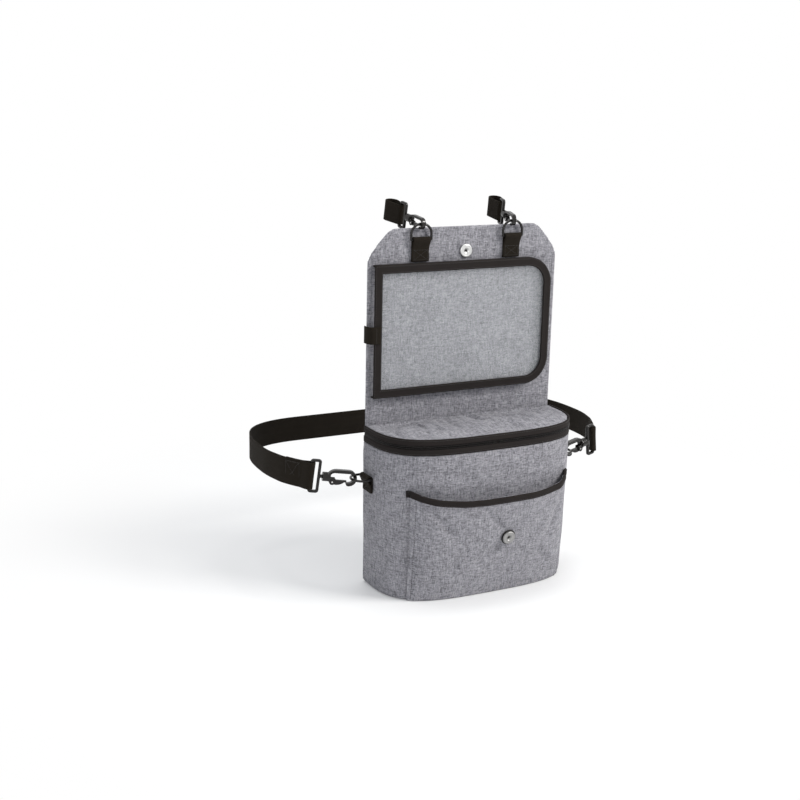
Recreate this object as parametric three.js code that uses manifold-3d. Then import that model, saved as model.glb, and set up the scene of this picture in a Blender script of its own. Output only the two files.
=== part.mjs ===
// A car organizer of cloth: a flat panel that hangs upright and carries a clear window pocket,
// a zipped storage box with a soft lid, and a front pocket.
// Two short straps with snap hooks hang it up, and a belt with two larger snap hooks holds it at half height.
//
// Millimetres, +Z up. While it is built, the panel's rear face is the plane Y = 0 and its foot is Z = 0;
// the finished group is then moved so that the origin is midway between the two upper strap loops.

import * as THREE from 'three';
import { mergeVertices } from 'three/addons/utils/BufferGeometryUtils.js';
import Module from 'manifold-3d';

const wasm = await Module();
wasm.setup();

// Clearances
const seamGap = 0.3;
const runningGap = 0.35;

// Back panel
const panelWidth = 300;
const panelHeight = 502;
const panelThickness = 4;
const panelCornerWidth = 34;
const panelCornerHeight = 40;
const panelCornerRounding = 14;
const panelFootRadius = 8;

// Storage box, a D in plan whose curved wall is a superellipse
const boxHalfWidth = 152;
const boxDepth = 107;
const boxSquareness = 3.4;
const wallHeight = 209;
const wallThickness = 4;
const baseThickness = 5;
const wallFootTaper = 4;
const planSteps = 40;

// Lid and zip
const tapeHeight = 8.6;
const tapeThickness = 2;
const coilHeight = 2.1;
const coilThickness = 3.2;
const lidThickness = 4;
const lidDome = 4;
const lidRiseShare = 0.5;

// Zip slider and pull
const sliderLength = 10;
const sliderHeight = 8;
const sliderThickness = 3;
const sliderInset = 14;
const bailSize = 1.8;
const bailReach = 3;
const pullLength = 26;
const pullWidth = 8;
const pullThickness = 1.6;
const pullEyeWidth = 3.4;

// Window pocket
const windowLeft = -143;
const windowRight = 137;
const windowFoot = 270;
const windowHeight = 184;
const windowTop = windowFoot + windowHeight;
const windowCorner = 38;
const bindingWidth = 12;
const bindingThickness = 3;
const pocketStandOff = 6;
const windowWall = 2.4;
const filmThickness = 0.8;
const filmLap = 4;

// Closing tab at the open end of the window pocket
const closingTabHeight = 24;
const closingTabCentre = 359;
const closingTabThickness = 1.8;
const closingTabLap = 9;

// Webbing tabs and D-rings
const tabWidth = 26.5;
const tabThickness = 1.6;
const tabLength = 30;
const topTabOffset = 72;
const topTabDrop = 46.7;
const topTabFoot = panelHeight - topTabDrop;
const sideTabLength = 20;
const sideTabFoot = 143;
const sideTabDepth = 19;
const ringWire = 3.6;
const ringHeight = 21.7;
const ringStraight = 8;
const ringBevel = 0.8;

// Snap hooks: the small pair above, the large pair on the belt
const smallHook = {
  mouth: 4.4, limb: 3.6, window: 22, thickness: 6, noseTip: 1.1, slack: 0.7,
  barrelRadius: 5.4, barrelLength: 10, gateBar: 2.1, gateWidth: 3, knuckle: 2.2, pinRadius: 0.9,
  thumbFrom: 11, thumbDepth: 2.2,
  stemRadius: 2, headRadius: 3.2, headLength: 3, eyeBar: 4, eyeThickness: 4.2, eyeSlot: 7.5, webbing: 28,
};
const largeHook = {
  mouth: 6.5, limb: 4.6, window: 26, thickness: 7.6, noseTip: 3.6, slack: 1.7,
  barrelRadius: 6.5, barrelLength: 11, gateBar: 2.6, gateWidth: 3.8, knuckle: 2.8, pinRadius: 1.1,
  thumbFrom: 8, thumbDepth: 3.2,
  stemRadius: 2.5, headRadius: 4, headLength: 3.6, eyeBar: 4, eyeThickness: 4.6, eyeSlot: 7.5, webbing: 38,
};
const stemNeck = 3;
const gateLap = 0.8;
const smallHookRise = 9;
const smallHookYaw = 9;
const largeHookRise = 7;
const largeHookYaw = 14;

// Upper strap loops
const strapThickness = 1.8;
const loopRadius = 8;
const loopReach = 22;

// Belt, closed into one loop behind the panel
const beltThickness = 1.8;
const beltHalfWidth = 266;
const beltLoopDepth = 217;
const beltStraightHalf = 160;
const beltSideDepth = 92;
const beltSideEase = 58;
const beltCornerEase = 4;
const beltEndSpread = 10;
const beltEndEase = 15;
const beltEndTurn = 52;

// Belt adjuster
const adjusterLength = 26;
const adjusterRail = 4;
const adjusterBar = 5;
const adjusterThickness = 6.4;
const adjusterPlace = 60;

// Snap fasteners
const snapRadius = 9.5;
const snapHeight = 3;
const snapDish = 1.6;
const snapDishRadius = 4.5;
const topSnapDrop = 35;
const topSnapHeight = panelHeight - topSnapDrop;
const pocketSnapOffset = 13;
const pocketSnapHeight = 86;
const pocketRimRadius = 11;
const pocketRimHeight = 0.9;

// Front pocket
const pocketHalfWidth = 123;
const pocketThickness = 2.6;
const pocketBulge = 22;
const pocketCornerHeight = 160;
const pocketScoop = 12;
const pocketBindingHeight = 9.5;
const pocketBindingThickness = 1.6;
const pocketEndTab = 5;

const fabricGrey = 0x94969b;
const webbingBlack = 0x2b2926;
const bindingBlack = 0x322e2e;
const plasticBlack = 0x1d1b1a;
const metalSilver = 0xc9c9c6;
const filmClear = 0xe4eaec;

const panelFront = -panelThickness;
const boxBack = panelFront - seamGap;
const organizer = new THREE.Group();

// Solids from meshes and back

function toSolid(geometry) {
  const bare = geometry.clone();
  bare.deleteAttribute('normal');
  bare.deleteAttribute('uv');
  const merged = mergeVertices(bare, 1e-4);
  return new wasm.Manifold(new wasm.Mesh({
    numProp: 3,
    vertProperties: new Float32Array(merged.attributes.position.array),
    triVerts: new Uint32Array(merged.index.array),
  }));
}

function toGeometry(solid) {
  const mesh = solid.getMesh();
  const geometry = new THREE.BufferGeometry();
  geometry.setAttribute('position', new THREE.BufferAttribute(mesh.vertProperties, 3));
  geometry.setIndex(new THREE.BufferAttribute(mesh.triVerts, 1));
  return geometry;
}

function join(...geometries) {
  return toGeometry(geometries.map(toSolid).reduce((sum, solid) => sum.add(solid)));
}

function cut(base, ...tools) {
  return toGeometry(tools.map(toSolid).reduce((rest, solid) => rest.subtract(solid), toSolid(base)));
}

function common(first, second) {
  return toGeometry(toSolid(first).intersect(toSolid(second)));
}

// Shapes used by several pieces

function addPiece(parent, name, geometry, color, roughness, metalness = 0) {
  const material = new THREE.MeshStandardMaterial({ color, roughness, metalness });
  const mesh = new THREE.Mesh(geometry, material);
  mesh.name = name;
  parent.add(mesh);
  return mesh;
}

function block(lengthX, lengthY, lengthZ, x, y, z) {
  return new THREE.BoxGeometry(lengthX, lengthY, lengthZ).translate(x, y, z);
}

// A closed sheet: a divided box whose unit coordinates are laid out by place(u, v, t),
// u along +X, v along +Z and t from its front face to its rear one.
function bentSheet(columns, rows, place) {
  const geometry = new THREE.BoxGeometry(1, 1, 1, columns, 1, rows);
  const position = geometry.attributes.position;
  for (let i = 0; i < position.count; i += 1) {
    const point = place(position.getX(i) + 0.5, position.getZ(i) + 0.5, position.getY(i) + 0.5);
    position.setXYZ(i, point.x, point.y, point.z);
  }
  return geometry;
}

function withoutRepeats(points) {
  return points.filter((point, i) => point.distanceTo(points[(i + 1) % points.length]) > 0.01);
}

// The same outline in straight steps, with points that fall together left out
function steppedShape(shape, curveSegments) {
  const { shape: outline, holes } = shape.extractPoints(curveSegments);
  const stepped = new THREE.Shape(withoutRepeats(outline));
  stepped.holes = holes.map((hole) => new THREE.Path(withoutRepeats(hole)));
  return stepped;
}

function extrude(shape, depth, curveSegments = 8) {
  return new THREE.ExtrudeGeometry(steppedShape(shape, curveSegments), { depth, bevelEnabled: false });
}

// A plate cut from a shape drawn in X and Z, standing upright, its middle on Y = 0
function uprightPlate(shape, thickness, curveSegments = 8, bevel = 0) {
  const geometry = new THREE.ExtrudeGeometry(steppedShape(shape, curveSegments), {
    depth: thickness - 2 * bevel,
    bevelEnabled: bevel > 0,
    bevelThickness: bevel,
    bevelSize: bevel,
    bevelOffset: -bevel,
    bevelSegments: 1,
  });
  return geometry.translate(0, 0, bevel - thickness / 2).rotateX(Math.PI / 2);
}

// A bar of the section drawn in Y and Z, lying along X, its middle on X = 0
function barAlongX(section, length, curveSegments = 8) {
  const geometry = extrude(section, length, curveSegments);
  const turn = new THREE.Matrix4().makeBasis(
    new THREE.Vector3(0, 1, 0), new THREE.Vector3(0, 0, 1), new THREE.Vector3(1, 0, 0));
  return geometry.translate(0, 0, -length / 2).applyMatrix4(turn);
}

function roundAlongX(radius, length, start, segments = 18) {
  return new THREE.CylinderGeometry(radius, radius, length, segments)
    .rotateZ(-Math.PI / 2)
    .translate(start + length / 2, 0, 0);
}

function roundAlongY(radius, length, x, z, segments = 12) {
  return new THREE.CylinderGeometry(radius, radius, length, segments).translate(x, 0, z);
}

function roundedRectangle(target, left, right, foot, top, radius) {
  target.moveTo(left + radius, foot);
  target.lineTo(right - radius, foot);
  target.absarc(right - radius, foot + radius, radius, -Math.PI / 2, 0, false);
  target.lineTo(right, top - radius);
  target.absarc(right - radius, top - radius, radius, 0, Math.PI / 2, false);
  target.lineTo(left + radius, top);
  target.absarc(left + radius, top - radius, radius, Math.PI / 2, Math.PI, false);
  target.lineTo(left, foot + radius);
  target.absarc(left + radius, foot + radius, radius, Math.PI, 1.5 * Math.PI, false);
  return target;
}

// The band round two circles on the X axis
function bandOutline(target, x1, radius1, x2, radius2) {
  const tangent = Math.acos((radius1 - radius2) / (x2 - x1));
  target.absarc(x2, 0, radius2, tangent, -tangent, true);
  target.absarc(x1, 0, radius1, -tangent, tangent - 2 * Math.PI, true);
  return target;
}

// Back panel

function panelOutline() {
  const half = panelWidth / 2;
  const shoulder = panelHeight - panelCornerHeight;
  const inner = half - panelCornerWidth;
  const along = new THREE.Vector2(panelCornerWidth, -panelCornerHeight).setLength(panelCornerRounding);
  const shape = new THREE.Shape();
  shape.moveTo(-half + panelFootRadius, 0);
  shape.lineTo(half - panelFootRadius, 0);
  shape.quadraticCurveTo(half, 0, half, panelFootRadius);
  shape.lineTo(half, shoulder - panelCornerRounding);
  shape.quadraticCurveTo(half, shoulder, half - along.x, shoulder - along.y);
  shape.lineTo(inner + along.x, panelHeight + along.y);
  shape.quadraticCurveTo(inner, panelHeight, inner - panelCornerRounding, panelHeight);
  shape.lineTo(-inner + panelCornerRounding, panelHeight);
  shape.quadraticCurveTo(-inner, panelHeight, -inner - along.x, panelHeight + along.y);
  shape.lineTo(-half + along.x, shoulder - along.y);
  shape.quadraticCurveTo(-half, shoulder, -half, shoulder - panelCornerRounding);
  shape.lineTo(-half, panelFootRadius);
  shape.quadraticCurveTo(-half, 0, -half + panelFootRadius, 0);
  return shape;
}

function addBackPanel() {
  const panel = addPiece(organizer, 'back_panel', uprightPlate(panelOutline(), panelThickness), fabricGrey, 0.9);
  panel.position.y = -panelThickness / 2;
}

// Storage box

// A point of the D plan, from its left end (u = 0) round the front to its right end (u = 1)
function planPoint(u, inset) {
  const angle = Math.PI * (1 - u);
  const power = 2 / boxSquareness;
  const cosine = Math.cos(angle);
  const x = (boxHalfWidth - inset) * Math.sign(cosine) * Math.abs(cosine) ** power;
  const y = boxBack - (boxDepth - inset) * Math.max(Math.sin(angle), 0) ** power;
  return new THREE.Vector3(x, y, 0);
}

function footTaper(z) {
  const share = Math.max(0, 1 - z / wallHeight);
  return wallFootTaper * share * share;
}

function band(inset, thickness, foot, top, rows = 1, taper = () => 0) {
  return bentSheet(planSteps, rows, (u, v, t) => {
    const z = THREE.MathUtils.lerp(foot, top, v);
    const point = planPoint(u, inset + t * thickness + taper(z));
    point.z = z;
    return point;
  });
}

function planShape(inset) {
  const points = [];
  for (let i = 0; i <= planSteps; i += 1) {
    const point = planPoint(i / planSteps, inset);
    points.push(new THREE.Vector2(point.x, point.y));
  }
  return new THREE.Shape(points);
}

function addBox() {
  const wall = band(0, wallThickness, 0, wallHeight, 5, footTaper);
  addPiece(organizer, 'box_wall', wall, fabricGrey, 0.92);
  const base = extrude(planShape(wallThickness + wallFootTaper + seamGap), baseThickness);
  addPiece(organizer, 'box_base', base, fabricGrey, 0.92);
}

const lowerTapeFoot = wallHeight + seamGap;
const lowerCoilFoot = lowerTapeFoot + tapeHeight + seamGap;
const upperCoilFoot = lowerCoilFoot + coilHeight + seamGap;
const upperTapeFoot = upperCoilFoot + coilHeight + seamGap;
const lidTop = upperTapeFoot + tapeHeight;

function addZip() {
  const coilInset = (tapeThickness - coilThickness) / 2;
  addPiece(organizer, 'zip_tape_lower', band(0, tapeThickness, lowerTapeFoot, lowerTapeFoot + tapeHeight),
    bindingBlack, 0.85);
  addPiece(organizer, 'zip_coil_lower',
    band(coilInset, coilThickness, lowerCoilFoot, lowerCoilFoot + coilHeight), plasticBlack, 0.5);
  addPiece(organizer, 'zip_coil_upper',
    band(coilInset, coilThickness, upperCoilFoot, upperCoilFoot + coilHeight), plasticBlack, 0.5);
  addPiece(organizer, 'zip_tape_upper', band(0, tapeThickness, upperTapeFoot, lidTop), bindingBlack, 0.85);
}

function addLid() {
  const inset = tapeThickness + seamGap;
  const height = lidThickness + lidDome + 2;
  const plan = extrude(planShape(inset), height).translate(0, 0, lidTop - lidThickness - 1);
  addPiece(organizer, 'box_lid', common(domedSlab(inset), plan), fabricGrey, 0.92);
}

// A slab over the D plan, highest near its middle and flat at its rim and at its hinge seam
function domedSlab(inset) {
  const halfWidth = boxHalfWidth - inset;
  const depth = boxDepth - inset;
  const slab = new THREE.BoxGeometry(2 * halfWidth + 2, depth + 1, lidThickness, 16, 6, 1)
    .translate(0, boxBack - (depth + 1) / 2, lidTop - lidThickness / 2);
  const position = slab.attributes.position;
  for (let i = 0; i < position.count; i += 1) {
    const across = Math.abs(position.getX(i) / halfWidth) ** boxSquareness;
    const forwardShare = Math.abs((boxBack - position.getY(i)) / depth);
    const forward = forwardShare ** boxSquareness;
    const rise = Math.max(0, 1 - across - forward) * Math.min(1, forwardShare / lidRiseShare);
    position.setZ(i, position.getZ(i) + lidDome * rise);
  }
  return slab;
}

// The slider waits at the closed end of the zip, beside the panel, with its pull hanging down
function addSlider() {
  const slider = new THREE.Group();
  const outside = boxHalfWidth + (coilThickness - tapeThickness) / 2 + runningGap;
  slider.position.set(outside, boxBack - sliderInset, upperCoilFoot - seamGap / 2);
  organizer.add(slider);
  const bailX = sliderThickness + bailReach;
  const armY = pullEyeWidth / 2 + runningGap + bailSize / 2;
  const plate = block(sliderThickness, sliderLength, sliderHeight, sliderThickness / 2, 0, 0);
  const arm = block(bailReach + bailSize / 2, bailSize, bailSize, sliderThickness + bailReach / 2 + bailSize / 4, 0, 0);
  const bridge = roundAlongY(bailSize / 2, 2 * armY, bailX, 0);
  const solid = join(plate, arm.clone().translate(0, armY, 0), arm.clone().translate(0, -armY, 0), bridge);
  addPiece(slider, 'zip_slider', solid, metalSilver, 0.35, 1);

  const bore = bailSize / 2 + runningGap;
  const eye = roundAlongY(bore + pullThickness / 2, pullEyeWidth, bailX, 0, 16);
  const tongue = block(pullThickness, pullWidth, pullLength, bailX, 0, -pullLength / 2 - bore - 0.3);
  const hole = roundAlongY(bore, pullEyeWidth + 2, bailX, 0, 16);
  addPiece(slider, 'zip_pull', cut(join(eye, tongue), hole), metalSilver, 0.35, 1);
}

// Window pocket

const bindingBack = panelFront - seamGap - pocketStandOff - filmThickness - seamGap;

function windowOutline(target, margin) {
  const corner = windowCorner - margin;
  const left = windowLeft + margin;
  const right = windowRight - margin;
  const foot = windowFoot + margin;
  const top = windowTop - margin;
  target.moveTo(left, foot);
  target.lineTo(right - corner, foot);
  target.absarc(right - corner, foot + corner, corner, -Math.PI / 2, 0, false);
  target.lineTo(right, top - corner);
  target.absarc(right - corner, top - corner, corner, 0, Math.PI / 2, false);
  target.lineTo(left, top);
  target.lineTo(left, foot);
  return target;
}

function addWindowPocket() {
  const frame = windowOutline(new THREE.Shape(), 0);
  frame.holes.push(windowOutline(new THREE.Path(), bindingWidth));
  const front = uprightPlate(frame, bindingThickness, 8).translate(0, bindingBack - bindingThickness / 2, 0);
  const wallShape = windowOutline(new THREE.Shape(), 0);
  wallShape.holes.push(windowOutline(new THREE.Path(), windowWall));
  const wallDepth = panelFront - seamGap - bindingBack;
  const wall = uprightPlate(wallShape, wallDepth + 1, 8).translate(0, bindingBack + (wallDepth - 1) / 2, 0);
  const mouth = block(4 * windowWall, wallDepth, windowTop - windowFoot - 2 * windowWall,
    windowLeft, bindingBack + wallDepth / 2, (windowTop + windowFoot) / 2);
  addPiece(organizer, 'window_binding', cut(join(front, wall), mouth), bindingBlack, 0.85);

  const film = windowOutline(new THREE.Shape(), bindingWidth - filmLap);
  const sheet = uprightPlate(film, filmThickness, 8);
  addPiece(organizer, 'window_film', sheet, filmClear, 0.12)
    .position.y = bindingBack + seamGap + filmThickness / 2;
}

// A strip that starts on the binding's front, turns round the panel's side and stops short of its rear
function addClosingTab() {
  const front = bindingBack - bindingThickness - seamGap;
  const right = windowLeft + closingTabLap;
  const left = -panelWidth / 2 - seamGap;
  const rear = -seamGap;
  const shape = new THREE.Shape();
  shape.moveTo(right, front);
  shape.lineTo(windowLeft - seamGap, front);
  shape.quadraticCurveTo(left, front, left, panelFront);
  shape.lineTo(left, rear);
  shape.lineTo(left - closingTabThickness, rear);
  shape.lineTo(left - closingTabThickness, panelFront);
  shape.quadraticCurveTo(left - closingTabThickness, front - closingTabThickness,
    windowLeft - seamGap, front - closingTabThickness);
  shape.lineTo(right, front - closingTabThickness);
  const strip = extrude(shape, closingTabHeight, 6);
  strip.translate(0, 0, closingTabCentre - closingTabHeight / 2);
  addPiece(organizer, 'closing_tab', strip, webbingBlack, 0.9);
}

// Webbing tabs with their rings

const loopInner = Math.hypot(ringWire / 2, ringWire / 2) + runningGap - 0.3 * ringBevel;
const loopOuter = loopInner + tabThickness;

// A doubled strip with a loop at its top: its back is Y = 0, its foot Z = 0, the loop's middle at Z = length
function foldedTab(length) {
  const spread = 12;
  const section = new THREE.Shape();
  section.moveTo(0, 0);
  section.lineTo(0, length);
  section.absarc(-loopOuter, length, loopOuter, 0, Math.PI, false);
  section.lineTo(-2 * loopOuter, length);
  section.lineTo(-2 * tabThickness, length - spread);
  section.lineTo(-2 * tabThickness, 0);
  const loop = new THREE.Path();
  loop.absarc(-loopOuter, length, loopInner, 0, Math.PI, false);
  loop.lineTo(-tabThickness - 0.5, length - spread + 3);
  loop.lineTo(-tabThickness, length - spread + 3);
  section.holes.push(loop);
  return barAlongX(section, tabWidth, 8);
}

function ringPlate() {
  const inner = tabWidth / 2 + runningGap;
  const outer = inner + ringWire;
  const half = ringWire / 2;
  const shape = new THREE.Shape();
  shape.moveTo(-outer, -half);
  shape.lineTo(outer, -half);
  shape.lineTo(outer, ringStraight);
  shape.absellipse(0, ringStraight, outer, ringHeight + half - ringStraight, 0, Math.PI, false);
  const hole = new THREE.Path();
  hole.moveTo(-inner, half);
  hole.lineTo(inner, half);
  hole.lineTo(inner, ringStraight);
  hole.absellipse(0, ringStraight, inner, ringHeight - half - ringStraight, 0, Math.PI, false);
  shape.holes.push(hole);
  return uprightPlate(shape, ringWire, 10, ringBevel);
}

// Snap hooks. Each is drawn with the middle of its mouth at the origin, its nose towards -X,
// its gate below and its swivel eye towards +X.

function hookBody(hook) {
  const outer = hook.mouth + hook.limb;
  const barrelStart = hook.window;
  const shape = new THREE.Shape();
  shape.moveTo(hook.noseTip, -hook.mouth);
  shape.lineTo(0, -hook.mouth);
  shape.absarc(0, 0, hook.mouth, -Math.PI / 2, -1.5 * Math.PI, true);
  shape.lineTo(barrelStart - 6, hook.mouth);
  shape.quadraticCurveTo(barrelStart, hook.mouth, barrelStart, 1);
  shape.lineTo(barrelStart + 2, 1);
  shape.lineTo(barrelStart + 3, hook.barrelRadius * 0.8);
  shape.quadraticCurveTo(barrelStart - 1, outer, barrelStart - 9, outer);
  shape.lineTo(0, outer);
  shape.absarc(0, 0, outer, Math.PI / 2, 1.5 * Math.PI, false);
  shape.quadraticCurveTo(hook.noseTip, -outer, hook.noseTip, -hook.mouth);
  return uprightPlate(shape, hook.thickness, 7);
}

function gatePivot(hook) {
  return { x: hook.window - hook.knuckle - runningGap, z: -hook.mouth };
}

function hookCheeks(hook) {
  const pivot = gatePivot(hook);
  const radius = hook.knuckle + 1.4;
  const shape = new THREE.Shape();
  shape.absarc(pivot.x, pivot.z, radius, Math.PI, 2 * Math.PI, false);
  shape.lineTo(hook.window + 4, -hook.barrelRadius * 0.8);
  shape.lineTo(hook.window + 4, -1);
  shape.lineTo(pivot.x - radius, -1);
  return uprightPlate(shape, hook.thickness, 5);
}

function swivelCavity(hook) {
  const start = hook.window + 2.5;
  const chamber = roundAlongX(hook.headRadius + runningGap, hook.headLength + 2 * runningGap, start, 12);
  const neckStart = start + hook.headLength + 2 * runningGap - 0.5;
  const neck = roundAlongX(hook.stemRadius + runningGap, hook.barrelLength, neckStart, 10);
  return [chamber, neck];
}

function addHookBody(parent, name, hook) {
  const pivot = gatePivot(hook);
  const reach = hook.knuckle + 1.4 + 1;
  const barrel = roundAlongX(hook.barrelRadius, hook.barrelLength, hook.window, 16);
  const slotWidth = hook.gateWidth + 2 * runningGap;
  const slotRight = pivot.x + hook.knuckle + runningGap;
  const slot = block(slotRight - pivot.x + reach, slotWidth, reach - pivot.z + 0.5,
    (slotRight + pivot.x - reach) / 2, 0, (pivot.z - reach + 0.5) / 2);
  const bore = roundAlongY(hook.pinRadius + seamGap, hook.thickness + 2, pivot.x, pivot.z);
  const solid = join(hookBody(hook), barrel, hookCheeks(hook));
  const body = cut(solid, ...swivelCavity(hook), slot, bore);
  addPiece(parent, `${name}_body`, body, plasticBlack, 0.35);
}

function addGate(parent, name, hook) {
  const pivot = gatePivot(hook);
  const shut = -hook.mouth + runningGap;
  const shape = new THREE.Shape();
  shape.moveTo(hook.noseTip - gateLap, shut);
  shape.lineTo(hook.noseTip - gateLap, shut + hook.gateBar);
  shape.lineTo(pivot.x, shut + hook.gateBar);
  shape.absarc(pivot.x, pivot.z, hook.knuckle, Math.PI / 2, -Math.PI / 2, true);
  shape.quadraticCurveTo((pivot.x + hook.thumbFrom) / 2, pivot.z - hook.knuckle - hook.thumbDepth,
    hook.thumbFrom, shut - hook.thumbDepth * 0.6);
  shape.quadraticCurveTo(hook.thumbFrom - 2, shut, hook.noseTip + 1, shut);
  const bore = new THREE.Path();
  bore.absarc(pivot.x, pivot.z, hook.pinRadius + seamGap, 0, 2 * Math.PI, false);
  shape.holes.push(bore);
  addPiece(parent, `${name}_gate`, uprightPlate(shape, hook.gateWidth, 6), plasticBlack, 0.25);
  const pin = roundAlongY(hook.pinRadius, hook.thickness - 0.4, pivot.x, pivot.z, 10);
  addPiece(parent, `${name}_gate_pin`, pin, metalSilver, 0.4, 1);
}

function eyeStart(hook) {
  return hook.window + hook.barrelLength + stemNeck;
}

function farBar(hook) {
  return eyeStart(hook) + hook.eyeBar + hook.eyeSlot + hook.eyeBar / 2;
}

function addEye(parent, name, hook) {
  const start = eyeStart(hook);
  const end = farBar(hook) + hook.eyeBar / 2;
  const inner = hook.webbing / 2 + 1;
  const half = inner + hook.eyeBar;
  const shape = new THREE.Shape();
  roundedRectangle(shape, start, end, -half, half, 4);
  const hole = new THREE.Path();
  roundedRectangle(hole, start + hook.eyeBar, end - hook.eyeBar, -inner, inner, 0.8);
  shape.holes.push(hole);
  const frame = uprightPlate(shape, hook.eyeThickness, 3, 0.8);
  const headStart = hook.window + 2.5 + runningGap;
  const head = roundAlongX(hook.headRadius, hook.headLength, headStart, 12);
  const stem = roundAlongX(hook.stemRadius, start - headStart, headStart + 1, 10);
  addPiece(parent, `${name}_eye`, join(frame, head, stem), plasticBlack, 0.3);
}

function webbingLoopRadius(hook) {
  return Math.hypot(hook.eyeBar / 2, hook.eyeThickness / 2) + runningGap;
}

function addHook(parent, name, hook) {
  addHookBody(parent, name, hook);
  addGate(parent, name, hook);
  addEye(parent, name, hook);
}

// The short strap: a loop from the hook's eye, wide open at its far end so that a post can go through it
function addStrap(parent, name, hook) {
  const start = farBar(hook);
  const inner = webbingLoopRadius(hook);
  const outside = bandOutline(new THREE.Shape(), start, inner + strapThickness,
    start + loopReach, loopRadius + strapThickness);
  const inside = bandOutline(new THREE.Shape(), start, inner, start + loopReach, loopRadius);
  const loop = extrude(outside, hook.webbing, 10);
  const room = extrude(inside, hook.webbing + 2, 10).translate(0, 0, -1);
  const strap = cut(loop, room).translate(0, 0, -hook.webbing / 2);
  addPiece(parent, name, strap, webbingBlack, 0.9);
}

function addUpperHanger(side, label) {
  const tab = addPiece(organizer, `top_tab_${label}`, foldedTab(tabLength), webbingBlack, 0.9);
  tab.position.set(side * topTabOffset, panelFront - seamGap, topTabFoot);
  const barY = panelFront - seamGap - loopOuter;
  const barZ = topTabFoot + tabLength;
  const ring = addPiece(organizer, `d_ring_${label}`, ringPlate(), plasticBlack, 0.4);
  ring.position.set(side * topTabOffset, barY, barZ);

  const hanger = new THREE.Group();
  const rest = smallHook.mouth - ringWire / 2 - smallHook.slack;
  const heading = THREE.MathUtils.degToRad(90 - side * smallHookYaw);
  const rise = THREE.MathUtils.degToRad(smallHookRise);
  hanger.rotation.set(0, -rise, heading, 'ZYX');
  const reach = new THREE.Vector3(rest, 0, 0).applyEuler(hanger.rotation);
  hanger.position.set(side * topTabOffset, barY, barZ + ringHeight).add(reach);
  organizer.add(hanger);
  addHook(hanger, `strap_hook_${label}`, smallHook);
  addStrap(hanger, `hanger_strap_${label}`, smallHook);
  hanger.updateMatrixWorld(true);
  return hanger.localToWorld(new THREE.Vector3(farBar(smallHook) + loopReach, 0, 0));
}

// The place on a ring's bow that a pull at this angle meets squarely
function bowPlace(pull) {
  const halfWidth = tabWidth / 2 + runningGap + ringWire / 2;
  const rise = ringHeight - ringStraight;
  const turn = Math.atan(halfWidth / rise * Math.tan(pull));
  return new THREE.Vector2(halfWidth * Math.sin(turn), ringStraight + rise * Math.cos(turn));
}

function addBeltAnchor(side, label) {
  const anchor = new THREE.Group();
  anchor.rotation.z = side * Math.PI / 2;
  anchor.position.set(side * (boxHalfWidth + seamGap), boxBack - sideTabDepth, sideTabFoot);
  organizer.add(anchor);
  addPiece(anchor, `side_tab_${label}`, foldedTab(sideTabLength), webbingBlack, 0.9);
  const ring = addPiece(anchor, `side_ring_${label}`, ringPlate(), plasticBlack, 0.4);
  ring.position.set(0, -loopOuter, sideTabLength);
  ring.rotation.x = Math.PI / 2;

  const bow = bowPlace(THREE.MathUtils.degToRad(largeHookYaw));
  const wire = new THREE.Vector3(side * (boxHalfWidth + seamGap + loopOuter + bow.y),
    boxBack - sideTabDepth + bow.x, sideTabFoot + sideTabLength);
  const link = new THREE.Group();
  const rest = largeHook.mouth - ringWire / 2 - largeHook.slack;
  const heading = THREE.MathUtils.degToRad(side > 0 ? largeHookYaw : 180 - largeHookYaw);
  const rise = THREE.MathUtils.degToRad(largeHookRise);
  link.rotation.set(0, -rise, heading, 'ZYX');
  link.position.copy(wire).add(new THREE.Vector3(rest, 0, 0).applyEuler(link.rotation));
  organizer.add(link);
  addHook(link, `belt_hook_${label}`, largeHook);
  link.updateMatrixWorld(true);
  return link;
}

// Belt

function beltPath(left, right) {
  const path = new THREE.Path();
  path.moveTo(left.x, left.y);
  const turn = beltSideDepth - beltEndTurn;
  const ease = beltSideDepth + beltSideEase;
  const corner = beltHalfWidth - beltCornerEase;
  path.bezierCurveTo(left.x - beltEndSpread, left.y + beltEndEase, -beltHalfWidth, turn, -beltHalfWidth, beltSideDepth);
  path.bezierCurveTo(-beltHalfWidth, ease, -corner, beltLoopDepth, -beltStraightHalf, beltLoopDepth);
  path.lineTo(beltStraightHalf, beltLoopDepth);
  path.bezierCurveTo(corner, beltLoopDepth, beltHalfWidth, ease, beltHalfWidth, beltSideDepth);
  path.bezierCurveTo(beltHalfWidth, turn, right.x + beltEndSpread, right.y + beltEndEase, right.x, right.y);
  return path;
}

function beltStrip(path, foot) {
  const points = path.getPoints(11);
  const columns = points.length - 1;
  return bentSheet(columns, 1, (u, v, t) => {
    const i = Math.round(u * columns);
    const along = points[Math.min(i + 1, columns)].clone().sub(points[Math.max(i - 1, 0)]).normalize();
    const offset = (0.5 - t) * beltThickness;
    return new THREE.Vector3(
      points[i].x + along.y * offset, points[i].y - along.x * offset, foot + v * largeHook.webbing);
  });
}

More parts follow.
